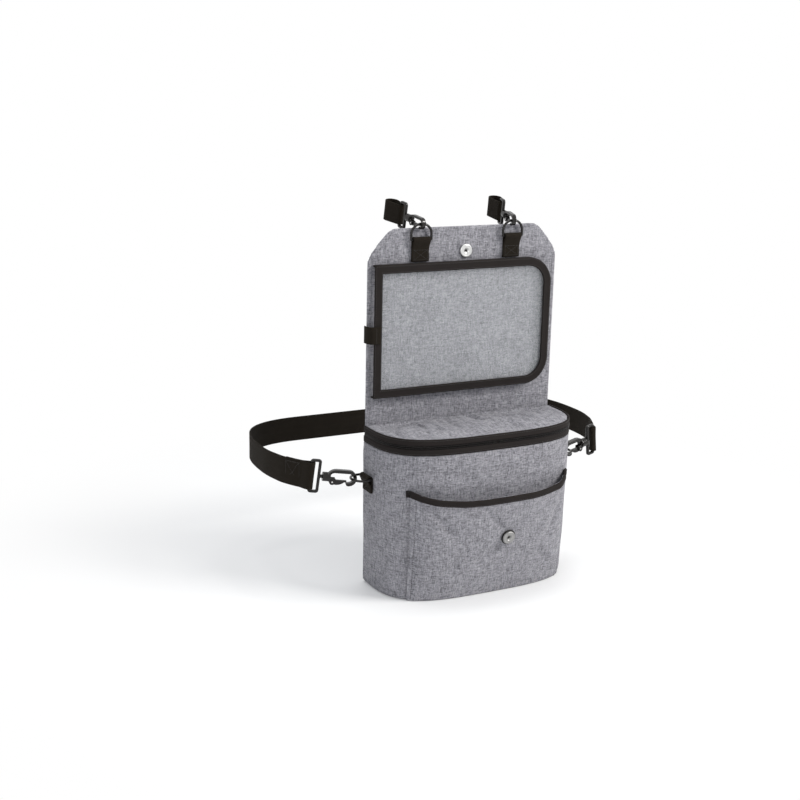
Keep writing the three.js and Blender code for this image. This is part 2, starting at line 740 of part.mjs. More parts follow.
function addBelt(leftLink, rightLink) {
  const inner = webbingLoopRadius(largeHook);
  const sleeves = [];
  const holes = [];
  const ends = [];
  for (const link of [leftLink, rightLink]) {
    const sleeve = new THREE.CylinderGeometry(inner + beltThickness, inner + beltThickness, largeHook.webbing, 24)
      .rotateX(Math.PI / 2)
      .translate(farBar(largeHook), 0, 0);
    const hole = new THREE.CylinderGeometry(inner, inner, largeHook.webbing + 12, 24)
      .rotateX(Math.PI / 2)
      .translate(farBar(largeHook), 0, 0);
    sleeves.push(sleeve.applyMatrix4(link.matrixWorld));
    holes.push(hole.applyMatrix4(link.matrixWorld));
    ends.push(link.localToWorld(new THREE.Vector3(farBar(largeHook), 0, 0)));
  }
  const foot = ends[0].z - largeHook.webbing / 2;
  const strip = beltStrip(beltPath(ends[0], ends[1]), foot);
  const belt = cut(join(strip, ...sleeves), ...holes);
  addPiece(organizer, 'belt_webbing', belt, webbingBlack, 0.9);
  return ends[0].z;
}

// A slide with a bar on the belt's far side and a rail at each end on its near side
function addAdjuster(beltHeight) {
  const railHeight = largeHook.webbing + 2 * runningGap + 2 * adjusterRail;
  const slot = beltThickness + 2 * runningGap;
  const opening = largeHook.webbing + 2 * runningGap;
  const inside = adjusterLength - 2 * adjusterRail;
  const window = (inside - adjusterBar) / 2;
  const frame = block(adjusterLength, adjusterThickness, railHeight, 0, 0, 0);
  const beltSlot = block(adjusterLength + 2, slot, opening, 0, 0, 0);
  const near = block(inside, adjusterThickness, opening, 0, -adjusterThickness / 2, 0);
  const farLeft = block(window, adjusterThickness, opening, -(adjusterBar + window) / 2, adjusterThickness / 2, 0);
  const farRight = block(window, adjusterThickness, opening, (adjusterBar + window) / 2, adjusterThickness / 2, 0);
  addPiece(organizer, 'belt_adjuster', cut(frame, beltSlot, near, farLeft, farRight), plasticBlack, 0.4)
    .position.set(adjusterPlace, beltLoopDepth, beltHeight);
}

// Snap fasteners

function snapProfile() {
  return [
    new THREE.Vector2(0, 0),
    new THREE.Vector2(snapRadius - 1, 0),
    new THREE.Vector2(snapRadius, 0.8),
    new THREE.Vector2(snapRadius - 0.4, snapHeight - 0.8),
    new THREE.Vector2(snapRadius - 1.6, snapHeight),
    new THREE.Vector2(snapDishRadius + 1, snapHeight),
    new THREE.Vector2(snapDishRadius, snapHeight - snapDish),
    new THREE.Vector2(0, snapHeight - snapDish),
  ];
}

function addTopSnap() {
  const snap = new THREE.LatheGeometry(snapProfile(), 20).rotateX(Math.PI);
  addPiece(organizer, 'top_snap', snap, metalSilver, 0.3, 1)
    .position.set(0, panelFront - seamGap, topSnapHeight);
}

// Front pocket

function pocketRim(x) {
  const share = Math.min(Math.abs(x) / pocketHalfWidth, 1);
  return pocketCornerHeight - pocketScoop * (1 - share ** 4);
}

// How far the pocket stands off the wall: nothing at its seams and foot, most at the rim's middle
function pocketDepth(x, z) {
  const share = Math.min(Math.abs(x) / pocketHalfWidth, 1);
  const across = (1 - share ** 3) ** 0.6;
  const up = Math.min(z / pocketCornerHeight, 1);
  return pocketBulge * across * (0.12 + 0.88 * up) * (1 - (1 - up) ** 6);
}

function wallFront(x, z) {
  const halfWidth = boxHalfWidth - footTaper(z);
  const depth = boxDepth - footTaper(z);
  const share = Math.min(Math.abs(x) / halfWidth, 1);
  return boxBack - depth * (1 - share ** boxSquareness) ** (1 / boxSquareness);
}

function pocketSurface(x, z, out) {
  return new THREE.Vector3(x, wallFront(x, z) - seamGap - pocketDepth(x, z) - out, z);
}

function pocketX(u) {
  return (2 * u - 1) * pocketHalfWidth;
}

function addFrontPocket() {
  const cloth = bentSheet(28, 6, (u, v, t) => {
    const x = pocketX(u);
    return pocketSurface(x, v * pocketRim(x), (1 - t) * pocketThickness);
  });
  addPiece(organizer, 'front_pocket', cloth, fabricGrey, 0.92);
  const outside = pocketThickness + seamGap;
  const binding = bentSheet(28, 1, (u, v, t) => {
    const x = pocketX(u);
    const z = pocketRim(x) + seamGap + (v - 1) * pocketBindingHeight;
    return pocketSurface(x, z, outside + (1 - t) * pocketBindingThickness);
  });
  addPiece(organizer, 'pocket_binding', binding, bindingBlack, 0.85);
}

// The binding's folded end on the wall beside each seam of the pocket
function addBindingEnd(side, label) {
  const end = bentSheet(2, 1, (u, v, t) => {
    const x = side * (pocketHalfWidth + seamGap) + (side > 0 ? u : u - 1) * pocketEndTab;
    const z = pocketCornerHeight + (v - 1) * pocketBindingHeight;
    return new THREE.Vector3(x, wallFront(x, z) - seamGap - (1 - t) * pocketBindingThickness, z);
  });
  addPiece(organizer, `binding_end_${label}`, end, bindingBlack, 0.85);
}

function addPocketSnap() {
  const middle = pocketSurface(pocketSnapOffset, pocketSnapHeight, pocketThickness);
  const above = pocketSurface(pocketSnapOffset, pocketSnapHeight + 10, pocketThickness);
  const below = pocketSurface(pocketSnapOffset, pocketSnapHeight - 10, pocketThickness);
  const lean = Math.atan2(above.y - below.y, above.z - below.z);
  const snap = new THREE.Group();
  snap.position.copy(middle);
  snap.rotation.x = Math.PI - lean;
  organizer.add(snap);
  const rimFoot = 0.7;
  const rim = [
    new THREE.Vector2(snapDishRadius, rimFoot),
    new THREE.Vector2(pocketRimRadius, rimFoot),
    new THREE.Vector2(pocketRimRadius - 0.5, rimFoot + pocketRimHeight),
    new THREE.Vector2(snapDishRadius, rimFoot + pocketRimHeight),
    new THREE.Vector2(snapDishRadius, rimFoot),
  ];
  addPiece(snap, 'pocket_snap_rim', new THREE.LatheGeometry(rim, 20), bindingBlack, 0.5);
  const button = new THREE.LatheGeometry(snapProfile(), 20).translate(0, rimFoot + pocketRimHeight + seamGap, 0);
  addPiece(snap, 'pocket_snap', button, metalSilver, 0.3, 1);
}

addBackPanel();
addBox();
addZip();
addLid();
addSlider();
addWindowPocket();
addClosingTab();
addTopSnap();
addFrontPocket();
addBindingEnd(-1, 'left');
addBindingEnd(1, 'right');
addPocketSnap();
const leftLoop = addUpperHanger(-1, 'left');
const rightLoop = addUpperHanger(1, 'right');
const leftLink = addBeltAnchor(-1, 'left');
const rightLink = addBeltAnchor(1, 'right');
addAdjuster(addBelt(leftLink, rightLink));

organizer.position.copy(leftLoop).add(rightLoop).multiplyScalar(-0.5);

export default organizer;
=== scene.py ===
# %% [markdown]
# # A hanging car organizer in grey cloth
# The object is a padded cloth panel with a clear window pocket, a zipped storage box and a front
# pocket. Webbing loops with snap hooks hold it at the top and a belt holds it at half height.
# The measured solids come in first and stay where they are. Each soft piece is then made again as
# cloth, in the same place, and each moulded or metal piece gets its finish.

import math

import bmesh
import bpy
import numpy as np
from mathutils import Matrix, Vector, noise


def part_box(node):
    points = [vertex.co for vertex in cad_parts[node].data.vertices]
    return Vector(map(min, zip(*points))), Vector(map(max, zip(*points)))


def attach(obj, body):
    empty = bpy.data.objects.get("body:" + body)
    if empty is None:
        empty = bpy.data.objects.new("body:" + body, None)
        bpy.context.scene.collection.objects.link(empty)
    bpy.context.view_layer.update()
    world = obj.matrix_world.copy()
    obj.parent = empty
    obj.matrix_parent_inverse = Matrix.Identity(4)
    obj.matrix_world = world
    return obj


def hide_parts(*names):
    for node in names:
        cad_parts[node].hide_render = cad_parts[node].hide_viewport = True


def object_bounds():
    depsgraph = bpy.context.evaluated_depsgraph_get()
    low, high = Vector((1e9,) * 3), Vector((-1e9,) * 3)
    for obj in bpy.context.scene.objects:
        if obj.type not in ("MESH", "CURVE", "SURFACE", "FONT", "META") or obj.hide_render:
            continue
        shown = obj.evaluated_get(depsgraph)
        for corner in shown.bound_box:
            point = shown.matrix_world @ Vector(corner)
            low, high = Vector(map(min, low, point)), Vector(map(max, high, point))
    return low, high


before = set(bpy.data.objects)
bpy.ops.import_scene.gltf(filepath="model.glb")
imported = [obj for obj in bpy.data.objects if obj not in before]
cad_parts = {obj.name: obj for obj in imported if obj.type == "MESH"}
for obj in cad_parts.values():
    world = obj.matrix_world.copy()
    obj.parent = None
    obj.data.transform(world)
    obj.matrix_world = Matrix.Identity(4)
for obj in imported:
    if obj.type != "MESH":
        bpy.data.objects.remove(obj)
solid_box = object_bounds()

# %% [markdown]
# Every place below is given in millimetres from the panel's rear face (y = 0, forward is -y), its
# foot (z = 0) and its middle (x = 0), because that is how a sewn piece is measured on a bench.
# One function turns such a place into the scene's metres.

# %% Places on the organizer
MM = 0.001
panel_low, panel_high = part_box("back_panel")
REAR = panel_high.y
FOOT = panel_low.z


def spot(x, y, z):
    return Vector((x * MM, REAR + y * MM, FOOT + z * MM))


def in_mm(point):
    return Vector((point.x / MM, (point.y - REAR) / MM, (point.z - FOOT) / MM))


TOP_TAB_X = 72.0
TOP_SNAP_Z = 467
print("rear face", round(REAR, 5), "foot", round(FOOT, 5))

# %% [markdown]
# The camera stands to the left of the object, a little above it and about two metres away. Its
# place, turn and focal length come from fitting straight edges and known corners.

# %% Camera
YAW, PITCH, ROLL = map(math.radians, (26.96, 14.66, 1.24))
look = Vector((math.sin(YAW) * math.cos(PITCH), math.cos(YAW) * math.cos(PITCH), -math.sin(PITCH)))
level = look.cross(Vector((0, 0, 1))).normalized()
upright = level.cross(look)
right = math.cos(ROLL) * level + math.sin(ROLL) * upright
top = -math.sin(ROLL) * level + math.cos(ROLL) * upright
camera = bpy.data.objects.new("camera", bpy.data.cameras.new("camera"))
bpy.context.collection.objects.link(camera)
camera.matrix_world = Matrix((right, top, -look)).transposed().to_4x4()
camera.location = spot(-882.0, -1547.7, 715.5)
camera.data.sensor_width = 36
camera.data.lens = 57.87
camera.data.clip_end = 50
bpy.context.scene.camera = camera
print("camera at", [round(v, 3) for v in camera.location])

# %% [markdown]
# A material is a small network of nodes. Two helpers keep the networks readable: `place_node` adds
# one node and joins or sets its inputs, and `calculate` adds one Math node.

# %% Helpers for node networks


def place_node(tree, kind, inputs=None, **settings):
    made = tree.nodes.new(kind)
    for name, value in settings.items():
        setattr(made, name, value)
    for socket, value in (inputs or {}).items():
        if isinstance(value, bpy.types.NodeSocket):
            tree.links.new(value, made.inputs[socket])
        else:
            made.inputs[socket].default_value = value
    return made


def calculate(tree, operation, first, second=0.0, third=0.0):
    inputs = {0: first, 1: second}
    if operation in ("MULTIPLY_ADD", "COMPARE"):
        inputs[2] = third
    return place_node(tree, "ShaderNodeMath", inputs, operation=operation).outputs[0]


def blend_values(tree, share, first, second):
    made = place_node(tree, "ShaderNodeMix", {0: share, 2: first, 3: second}, data_type="FLOAT")
    return made.outputs[0]


def blend_colours(tree, share, first, second):
    made = place_node(tree, "ShaderNodeMix", {0: share, 6: first, 7: second}, data_type="RGBA")
    return made.outputs[2]


def new_group(name, inputs, outputs):
    group = bpy.data.node_groups.new(name, "ShaderNodeTree")
    for label, kind, value in inputs:
        socket = group.interface.new_socket(label, in_out="INPUT", socket_type=kind)
        if value is not None:
            socket.default_value = value
    for label, kind in outputs:
        group.interface.new_socket(label, in_out="OUTPUT", socket_type=kind)
    return group, group.nodes.new("NodeGroupInput"), group.nodes.new("NodeGroupOutput")


def new_material(name, roughness=0.6, metallic=0.0, **constants):
    material = bpy.data.materials.new(name)
    material.use_nodes = True
    tree = material.node_tree
    shader = tree.nodes["Principled BSDF"]
    shader.inputs["Roughness"].default_value = roughness
    shader.inputs["Metallic"].default_value = metallic
    for label, value in constants.items():
        shader.inputs[label.replace("_", " ")].default_value = value
    return material, tree, shader


def use_group(tree, group, **inputs):
    made = tree.nodes.new("ShaderNodeGroup")
    made.node_tree = group
    for label, value in inputs.items():
        socket = made.inputs[label.replace("_", " ")]
        if isinstance(value, bpy.types.NodeSocket):
            tree.links.new(value, socket)
        else:
            socket.default_value = value
    return made.outputs


def thread_place(tree):
    return place_node(tree, "ShaderNodeAttribute", attribute_name="thread_place").outputs["Vector"]


def object_place(tree):
    return place_node(tree, "ShaderNodeTexCoord").outputs["Object"]


def raise_surface(tree, shader, height, depth, strength=1.0):
    bump = place_node(tree, "ShaderNodeBump",
                      {"Height": height, "Distance": depth, "Strength": strength})
    tree.links.new(bump.outputs[0], shader.inputs["Normal"])


print("node helpers ready")

# %% [markdown]
# The grey cloth is a plain weave of yarns spun from light and dark fibres, so each yarn changes
# colour along its length. An image could carry that, but a procedural weave stays sharp close up.
# The group follows single yarns: it tells which yarn is on top, how that yarn is coloured there and
# how high it stands. It reads `thread_place`, the flat place in metres that each piece of cloth
# keeps for its yarns, so that the weave runs along the cut of the cloth and round its bends.

# %% Group: plain weave of mixed yarns


def plain_weave_group():
    group, given, result = new_group(
        "mixed yarn weave",
        [("Place", "NodeSocketVector", None), ("Yarns per mm", "NodeSocketFloat", 1.6),
         ("Fleck length", "NodeSocketFloat", 6.0)],
        [("Tone", "NodeSocketFloat"), ("Streak", "NodeSocketFloat"), ("Height", "NodeSocketFloat")])
    per_metre = calculate(group, "MULTIPLY", given.outputs["Yarns per mm"], 1000.0)
    scaled = place_node(group, "ShaderNodeVectorMath", {0: given.outputs["Place"], "Scale": per_metre},
                        operation="SCALE").outputs[0]
    parts = place_node(group, "ShaderNodeSeparateXYZ", {0: scaled}).outputs
    run = calculate(group, "MULTIPLY", given.outputs["Yarns per mm"], given.outputs["Fleck length"])
    warp_row = calculate(group, "FLOOR", parts[0])
    weft_row = calculate(group, "FLOOR", parts[1])

    def yarn_tone(row, along, seed):
        step = calculate(group, "MULTIPLY", row, 3.17)
        far = calculate(group, "DIVIDE", along, run)
        place = place_node(group, "ShaderNodeCombineXYZ", {0: step, 1: far, 2: seed}).outputs[0]
        return place_node(group, "ShaderNodeTexNoise", {"Vector": place, "Scale": 1.0, "Detail": 3.0,
                                                        "Roughness": 0.75}).outputs[0]

    warp = yarn_tone(warp_row, parts[1], 0.0)
    weft = yarn_tone(weft_row, parts[0], 41.0)
    turn = calculate(group, "FLOORED_MODULO", calculate(group, "ADD", warp_row, weft_row), 2.0)
    tone = blend_values(group, turn, warp, weft)

    def arch(value):
        wave = calculate(group, "SINE", calculate(group, "MULTIPLY", value, math.pi))
        return calculate(group, "ABSOLUTE", wave)

    def yarn_height(own, other):
        dip = calculate(group, "MULTIPLY_ADD", other, 0.6, 0.4)
        return calculate(group, "MULTIPLY", own, dip)

    across_warp, across_weft = arch(parts[0]), arch(parts[1])
    height = blend_values(group, turn, yarn_height(across_warp, across_weft),
                          yarn_height(across_weft, across_warp))
    group.links.new(tone, result.inputs["Tone"])
    group.links.new(blend_values(group, 0.5, warp, weft), result.inputs["Streak"])
    group.links.new(height, result.inputs["Height"])
    return group


plain_weave = plain_weave_group()
print("group", plain_weave.name)

# %% [markdown]
# Webbing and binding tape are narrow woven bands. Their yarns make small slanted ribs that turn
# back at the middle, like a row of arrows. The group bends the place by a triangle wave and then
# counts ribs along the band.

# %% Group: ribbed band


def ribbed_band_group():
    group, given, result = new_group(
        "ribbed band",
        [("Place", "NodeSocketVector", None), ("Rib", "NodeSocketFloat", 1.1),
         ("Column", "NodeSocketFloat", 6.0), ("Slant", "NodeSocketFloat", 0.8)],
        [("Tone", "NodeSocketFloat"), ("Height", "NodeSocketFloat")])
    scaled = place_node(group, "ShaderNodeVectorMath", {0: given.outputs["Place"], "Scale": 1000.0},
                        operation="SCALE").outputs[0]
    parts = place_node(group, "ShaderNodeSeparateXYZ", {0: scaled}).outputs
    bend = calculate(group, "PINGPONG", parts[0], given.outputs["Column"])
    slanted = calculate(group, "MULTIPLY_ADD", bend, given.outputs["Slant"], parts[1])
    ribs = calculate(group, "DIVIDE", slanted, given.outputs["Rib"])
    wave = calculate(group, "SINE", calculate(group, "MULTIPLY", ribs, 2 * math.pi))
    columns = calculate(group, "SINE", calculate(group, "MULTIPLY", parts[0], 2 * math.pi / 1.3))
    ribbed = calculate(group, "MULTIPLY_ADD", columns, 0.3, wave)
    fibres = place_node(group, "ShaderNodeTexNoise",
                        {"Vector": scaled, "Scale": 1.4, "Detail": 4.0}).outputs[0]
    height = calculate(group, "MULTIPLY_ADD", ribbed, 0.35, fibres)
    group.links.new(fibres, result.inputs["Tone"])
    group.links.new(height, result.inputs["Height"])
    return group


ribbed_band = ribbed_band_group()
print("group", ribbed_band.name)

# %% [markdown]
# Cloth also changes slowly over a hand's breadth: it is paler in some patches, as if rubbed, and
# darker in others. Moulded plastic and plated metal carry fine scratches and finger marks. Each of
# these is one group, used again in several materials.

# %% Groups: slow variation, and handling marks


def slow_variation_group():
    group, given, result = new_group(
        "slow variation",
        [("Place", "NodeSocketVector", None), ("Patch size", "NodeSocketFloat", 40.0)],
        [("Amount", "NodeSocketFloat")])
    rate = calculate(group, "DIVIDE", 1000.0, given.outputs["Patch size"])
    amount = place_node(group, "ShaderNodeTexNoise", {"Vector": given.outputs["Place"], "Scale": rate,
                                                      "Detail": 3.0, "Roughness": 0.55}).outputs[0]
    group.links.new(amount, result.inputs["Amount"])
    return group


def handling_marks_group():
    group, given, result = new_group(
        "handling marks",
        [("Place", "NodeSocketVector", None), ("Smudge size", "NodeSocketFloat", 6.0)],
        [("Smudges", "NodeSocketFloat"), ("Scratches", "NodeSocketFloat")])
    rate = calculate(group, "DIVIDE", 1000.0, given.outputs["Smudge size"])
    smudges = place_node(group, "ShaderNodeTexNoise", {"Vector": given.outputs["Place"], "Scale": rate,
                                                       "Detail": 4.0}).outputs[0]
    drawn = place_node(group, "ShaderNodeMapping",
                       {"Vector": given.outputs["Place"], "Rotation": (0.4, 0.7, 0.3),
                        "Scale": (9000.0, 350.0, 700.0)})
    fine = place_node(group, "ShaderNodeTexNoise",
                      {"Vector": drawn.outputs[0], "Scale": 1.0, "Detail": 2.0})
    scratches = place_node(group, "ShaderNodeMapRange", {0: fine.outputs[0], 1: 0.62, 2: 0.72})
    group.links.new(smudges, result.inputs["Smudges"])
    group.links.new(scratches.outputs[0], result.inputs["Scratches"])
    return group


slow_variation = slow_variation_group()
handling_marks = handling_marks_group()
print("groups", slow_variation.name, handling_marks.name)

# %% [markdown]
# The grey cloth itself. Two scales of fleck are mixed: single yarns, and slubs about a
# millimetre wide and several long, which are what the eye sees from a metre away.

# %% Material: grey melange cloth


def melange_cloth(name, dark, light, patch=55.0):
    material, tree, shader = new_material(name, roughness=0.93, Sheen_Weight=0.12, Sheen_Roughness=0.6,
                                          Specular_IOR_Level=0.14)
    place = thread_place(tree)
    yarns = use_group(tree, plain_weave, Place=place, Yarns_per_mm=1.7, Fleck_length=7.0)
    slubs = use_group(tree, plain_weave, Place=place, Yarns_per_mm=0.8, Fleck_length=13.0)
    slow = use_group(tree, slow_variation, Place=place, Patch_size=patch)
    tone = blend_values(tree, 0.62, yarns["Tone"], slubs["Streak"])
    sharp = place_node(tree, "ShaderNodeMapRange", {0: tone, 1: 0.40, 2: 0.60}).outputs[0]
    worn = calculate(tree, "MULTIPLY_ADD", slow["Amount"], 0.22, -0.11)
    share = calculate(tree, "ADD", sharp, worn)
    colour = blend_colours(tree, share, dark, light)
    tree.links.new(colour, shader.inputs["Base Color"])
    raise_surface(tree, shader, yarns["Height"], 0.00022, 0.8)
    return material


grey_cloth = melange_cloth("grey melange cloth", (0.078, 0.076, 0.089, 1), (0.46, 0.452, 0.486, 1))
lining_cloth = melange_cloth("inner cloth", (0.06, 0.059, 0.068, 1), (0.32, 0.315, 0.335, 1))
print("materials", grey_cloth.name, lining_cloth.name)

# %% [markdown]
# Webbing is thick and ribbed, and binding tape is thin and finely ribbed. Both are black cloth, so
# they are a very dark warm grey and scatter light, with a little sheen from loose fibres.

# %% Materials: webbing and binding tape


def black_band(name, colour, rib, column, slant, depth):
    material, tree, shader = new_material(name, roughness=0.88, Sheen_Weight=0.02, Sheen_Roughness=0.5,
                                          Specular_IOR_Level=0.1)
    place = thread_place(tree)
    band = use_group(tree, ribbed_band, Place=place, Rib=rib, Column=column, Slant=slant)
    slow = use_group(tree, slow_variation, Place=place, Patch_size=25.0)
    pale = tuple(min(1.0, 2.1 * value) for value in colour[:3]) + (1,)
    share = calculate(tree, "MULTIPLY", band["Tone"], calculate(tree, "ADD", slow["Amount"], 0.35))
    tree.links.new(blend_colours(tree, share, colour, pale), shader.inputs["Base Color"])
    raise_surface(tree, shader, band["Height"], depth, 0.9)
    return material


webbing_black = black_band("black webbing", (0.0102, 0.0079, 0.0055, 1), 1.25, 5.0, 0.9, 0.0003)
tape_black = black_band("black binding tape", (0.0130, 0.0108, 0.0102, 1), 0.75, 20.0, 0.15, 0.00012)
print("materials", webbing_black.name, tape_black.name)

# %% [markdown]
# Hooks and rings are glossy moulded plastic: near black, with a clear highlight that is broken
# by smudges and hair scratches. The zip's teeth are a duller nylon, made by the same function.

# %% Materials: moulded plastic and zip nylon


def moulded_plastic(name, colour, low, high, coat=0.0):
    material, tree, shader = new_material(name, Coat_Weight=coat, Coat_Roughness=0.08,
                                          Specular_IOR_Level=0.3)
    place = object_place(tree)
    marks = use_group(tree, handling_marks, Place=place, Smudge_size=7.0)
    roughness = blend_values(tree, marks["Smudges"], low, high)
    rubbed = calculate(tree, "MULTIPLY_ADD", marks["Scratches"], 0.18, roughness)
    tree.links.new(rubbed, shader.inputs["Roughness"])
    pale = tuple(min(1.0, 2.6 * value) for value in colour[:3]) + (1,)
    worn = calculate(tree, "MULTIPLY", marks["Scratches"], 0.5)
    tree.links.new(blend_colours(tree, worn, colour, pale), shader.inputs["Base Color"])
    raise_surface(tree, shader, marks["Smudges"], 0.0001, 0.35)
    return material


gloss_black = moulded_plastic("gloss black plastic", (0.0078, 0.0064, 0.0056, 1), 0.08, 0.22, 0.12)
zip_nylon = moulded_plastic("zip nylon", (0.0115, 0.010, 0.0096, 1), 0.34, 0.5)
print("materials", gloss_black.name, zip_nylon.name)

# %% [markdown]
# The snaps, the zip's slider and the gate pins are plated metal. Smudges and a few scratches keep
# them from looking like a mirror. The snap on the pocket is painted darker: painted shade.

# %% Material: plated metal


def plated_metal(name, colour, low, high):
    material, tree, shader = new_material(name, metallic=1.0)
    place = object_place(tree)
    marks = use_group(tree, handling_marks, Place=place, Smudge_size=3.0)
    roughness = blend_values(tree, marks["Smudges"], low, high)
    rubbed = calculate(tree, "MULTIPLY_ADD", marks["Scratches"], 0.15, roughness)
    tree.links.new(rubbed, shader.inputs["Roughness"])
    dull = tuple(0.72 * value for value in colour[:3]) + (1,)
    tree.links.new(blend_colours(tree, marks["Smudges"], colour, dull), shader.inputs["Base Color"])
    raise_surface(tree, shader, marks["Smudges"], 0.00005, 0.4)
    return material


silver = plated_metal("silver plating", (0.80, 0.80, 0.79, 1), 0.2, 0.4)
# the pocket's snap: the same plating painted darker, as painted shade
shaded_silver = plated_metal("shaded plating", (0.38, 0.375, 0.37, 1), 0.28, 0.52)
print("materials", silver.name, shaded_silver.name)

# %% [markdown]
# The window is a clear, soft plastic film. Real refraction isn't needed for so thin a sheet: a
# mostly transparent surface with a clean highlight, more solid at a glancing angle, reads as film
# and still lets light through to the cloth behind it. Its whitish colour, stronger at a glancing
# angle, is a painted reflection over a slight haze.

# %% Material: clear film


def clear_film(name):
    material, tree, shader = new_material(name, roughness=0.06, Specular_IOR_Level=0.8)
    place = thread_place(tree)
    slow = use_group(tree, slow_variation, Place=place, Patch_size=30.0)
    edge = place_node(tree, "ShaderNodeLayerWeight", {"Blend": 0.35}).outputs["Facing"]
    # whiter and more solid at a glancing angle: partly to show the real highlight there, partly a
    # painted reflection
    cover = calculate(tree, "MULTIPLY_ADD", edge, 0.3, 0.03)
    haze_and_reflection = calculate(tree, "MULTIPLY_ADD", slow["Amount"], 0.07, cover)
    tree.links.new(haze_and_reflection, shader.inputs["Alpha"])
    tree.links.new(blend_colours(tree, slow["Amount"], (0.80, 0.84, 0.86, 1), (0.90, 0.93, 0.95, 1)),
                   shader.inputs["Base Color"])
    handled = calculate(tree, "MULTIPLY_ADD", slow["Amount"], 0.10, 0.02)
    tree.links.new(handled, shader.inputs["Roughness"])
    raise_surface(tree, shader, slow["Amount"], 0.0006, 0.25)
    return material


film_clear = clear_film("clear film")
print("material", film_clear.name)

# %% [markdown]
# Sewing thread is two or three plies twisted together. The twist is a slanted wave along the
# stitch, which `thread_place` measures from the stitch's own start. The thread is painted darker
# where the wave dips, as painted shade between the plies.

# %% Material: sewing thread


def sewing_thread(name, colour):
    material, tree, shader = new_material(name, roughness=0.7, Sheen_Weight=0.1)
    place = place_node(tree, "ShaderNodeVectorMath", {0: thread_place(tree), "Scale": 1000.0},
                       operation="SCALE").outputs[0]
    twist = place_node(tree, "ShaderNodeTexWave", {"Vector": place, "Scale": 1.6},
                       bands_direction="DIAGONAL")
    dark = tuple(0.6 * value for value in colour[:3]) + (1,)
    # darker where the twist dips: painted shade between the plies
    tree.links.new(blend_colours(tree, twist.outputs["Fac"], dark, colour), shader.inputs["Base Color"])
    raise_surface(tree, shader, twist.outputs["Fac"], 0.00008, 0.6)
    return material


grey_thread = sewing_thread("grey thread", (0.15, 0.152, 0.17, 1))
black_thread = sewing_thread("black thread", (0.026, 0.023, 0.021, 1))
print("materials", grey_thread.name, black_thread.name)

# %% [markdown]
# Most pieces belong to the fixed body and share a few finishes. Each finish is written once as
# material, body and slot, in the order in which a piece takes them.

# %% Finishes on the fixed body
CLOTH = (grey_cloth, "organizer", "grey_fabric")
TAPE = (tape_black, "organizer", "binding")
WEBBING = (webbing_black, "organizer", "webbing")
TAPE_THREAD = (black_thread, "organizer", "binding")
WEBBING_THREAD = (black_thread, "organizer", "webbing")
NYLON = (zip_nylon, "organizer", "zip_coil")
print("finishes", 6)

# %% [markdown]
# Soft pieces are built as closed shells over a grid: an outer face, an inner face and a strip
# round the rim. A function of (u, v) gives each point of a face, so folds and seams are written as
# plain sums. Every point also keeps the flat place of its yarns for the weave.

# %% Helpers for cloth shells


def add_object(name, mesh, material, body, slot, replaces=()):
    piece = bpy.data.objects.new(name, mesh)
    bpy.context.collection.objects.link(piece)
    if not mesh.materials:
        mesh.materials.append(material)
    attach(piece, body)
    if replaces:
        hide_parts(*replaces)
    return piece


def keep_threads(mesh, places):
    layer = mesh.attributes.new("thread_place", "FLOAT_VECTOR", "POINT")
    flat = np.zeros((len(mesh.vertices), 3), np.float32)
    flat[:, :2] = places
    layer.data.foreach_set("vector", flat.ravel())


def shade_smooth(mesh):
    mesh.polygons.foreach_set("use_smooth", [True] * len(mesh.polygons))


def threaded_mesh(name, points, faces, places):
    """A smooth mesh from points in metres, with the flat place of its yarns at each point."""
    mesh = bpy.data.meshes.new(name)
    mesh.from_pydata([tuple(point) for point in points], [], faces)
    mesh.validate()
    keep_threads(mesh, places)
    make_faces_point_out(mesh)
    shade_smooth(mesh)
    return mesh


def shell(name, outer, inner, columns, rows, threads):
    points, places, faces = [], [], []
    across = columns + 1
    for face in (outer, inner):
        for row in range(rows + 1):
            for column in range(across):
                u, v = column / columns, row / rows
                points.append(face(u, v))
                places.append(threads(u, v))
    half = across * (rows + 1)
    for row in range(rows):
        for column in range(columns):
            a = row * across + column
            faces.append((a, a + 1, a + across + 1, a + across))
            b = a + half
            faces.append((b + across, b + across + 1, b + 1, b))
    rim = [c for c in range(across)]
    rim += [r * across + columns for r in range(1, rows + 1)]
    rim += [rows * across + c for c in range(columns - 1, -1, -1)]
    rim += [r * across for r in range(rows - 1, 0, -1)]
    for i, a in enumerate(rim):
        b = rim[(i + 1) % len(rim)]
        faces.append((b, a, a + half, b + half))
    return threaded_mesh(name, points, faces, places)


def make_faces_point_out(mesh):
    work = bmesh.new()
    work.from_mesh(mesh)
    bmesh.ops.recalc_face_normals(work, faces=work.faces)
    work.to_mesh(mesh)
    work.free()


def soft_step(value, low, high):
    share = min(max((value - low) / (high - low), 0.0), 1.0)
    return share * share * (3 - 2 * share)


def crumple(x, z, size, seed=0.0):
    return noise.noise(Vector((x / size, z / size, seed)))


def fold_line(x, z, x0, z0, x1, z1, width):
    """A valley of depth 1 on the line between two points, with a lower ridge along one side."""
    along = Vector((x1 - x0, z1 - z0))
    length = along.length
    rel = Vector((x - x0, z - z0))
    t = rel.dot(along) / (length * length)
    off = (rel.x * along.y - rel.y * along.x) / length
    ends = soft_step(t, -0.15, 0.25) * (1 - soft_step(t, 0.7, 1.2))
    valley = math.exp(-(off / width) ** 2)
    ridge = 0.5 * math.exp(-((off - 2.1 * width) / (1.4 * width)) ** 2)
    return (valley - ridge) * ends


def folds(x, z, table):
    """All the folds of a table, each given as (depth, from x, from z, to x, to z, width)."""
    return sum(depth * fold_line(x, z, *line) for depth, *line in table)


def groove(away, width):
    """1 at the middle of a sewn groove, falling to 0 beside it."""
    return math.exp(-(away / width) ** 2)


print("shell helpers ready")

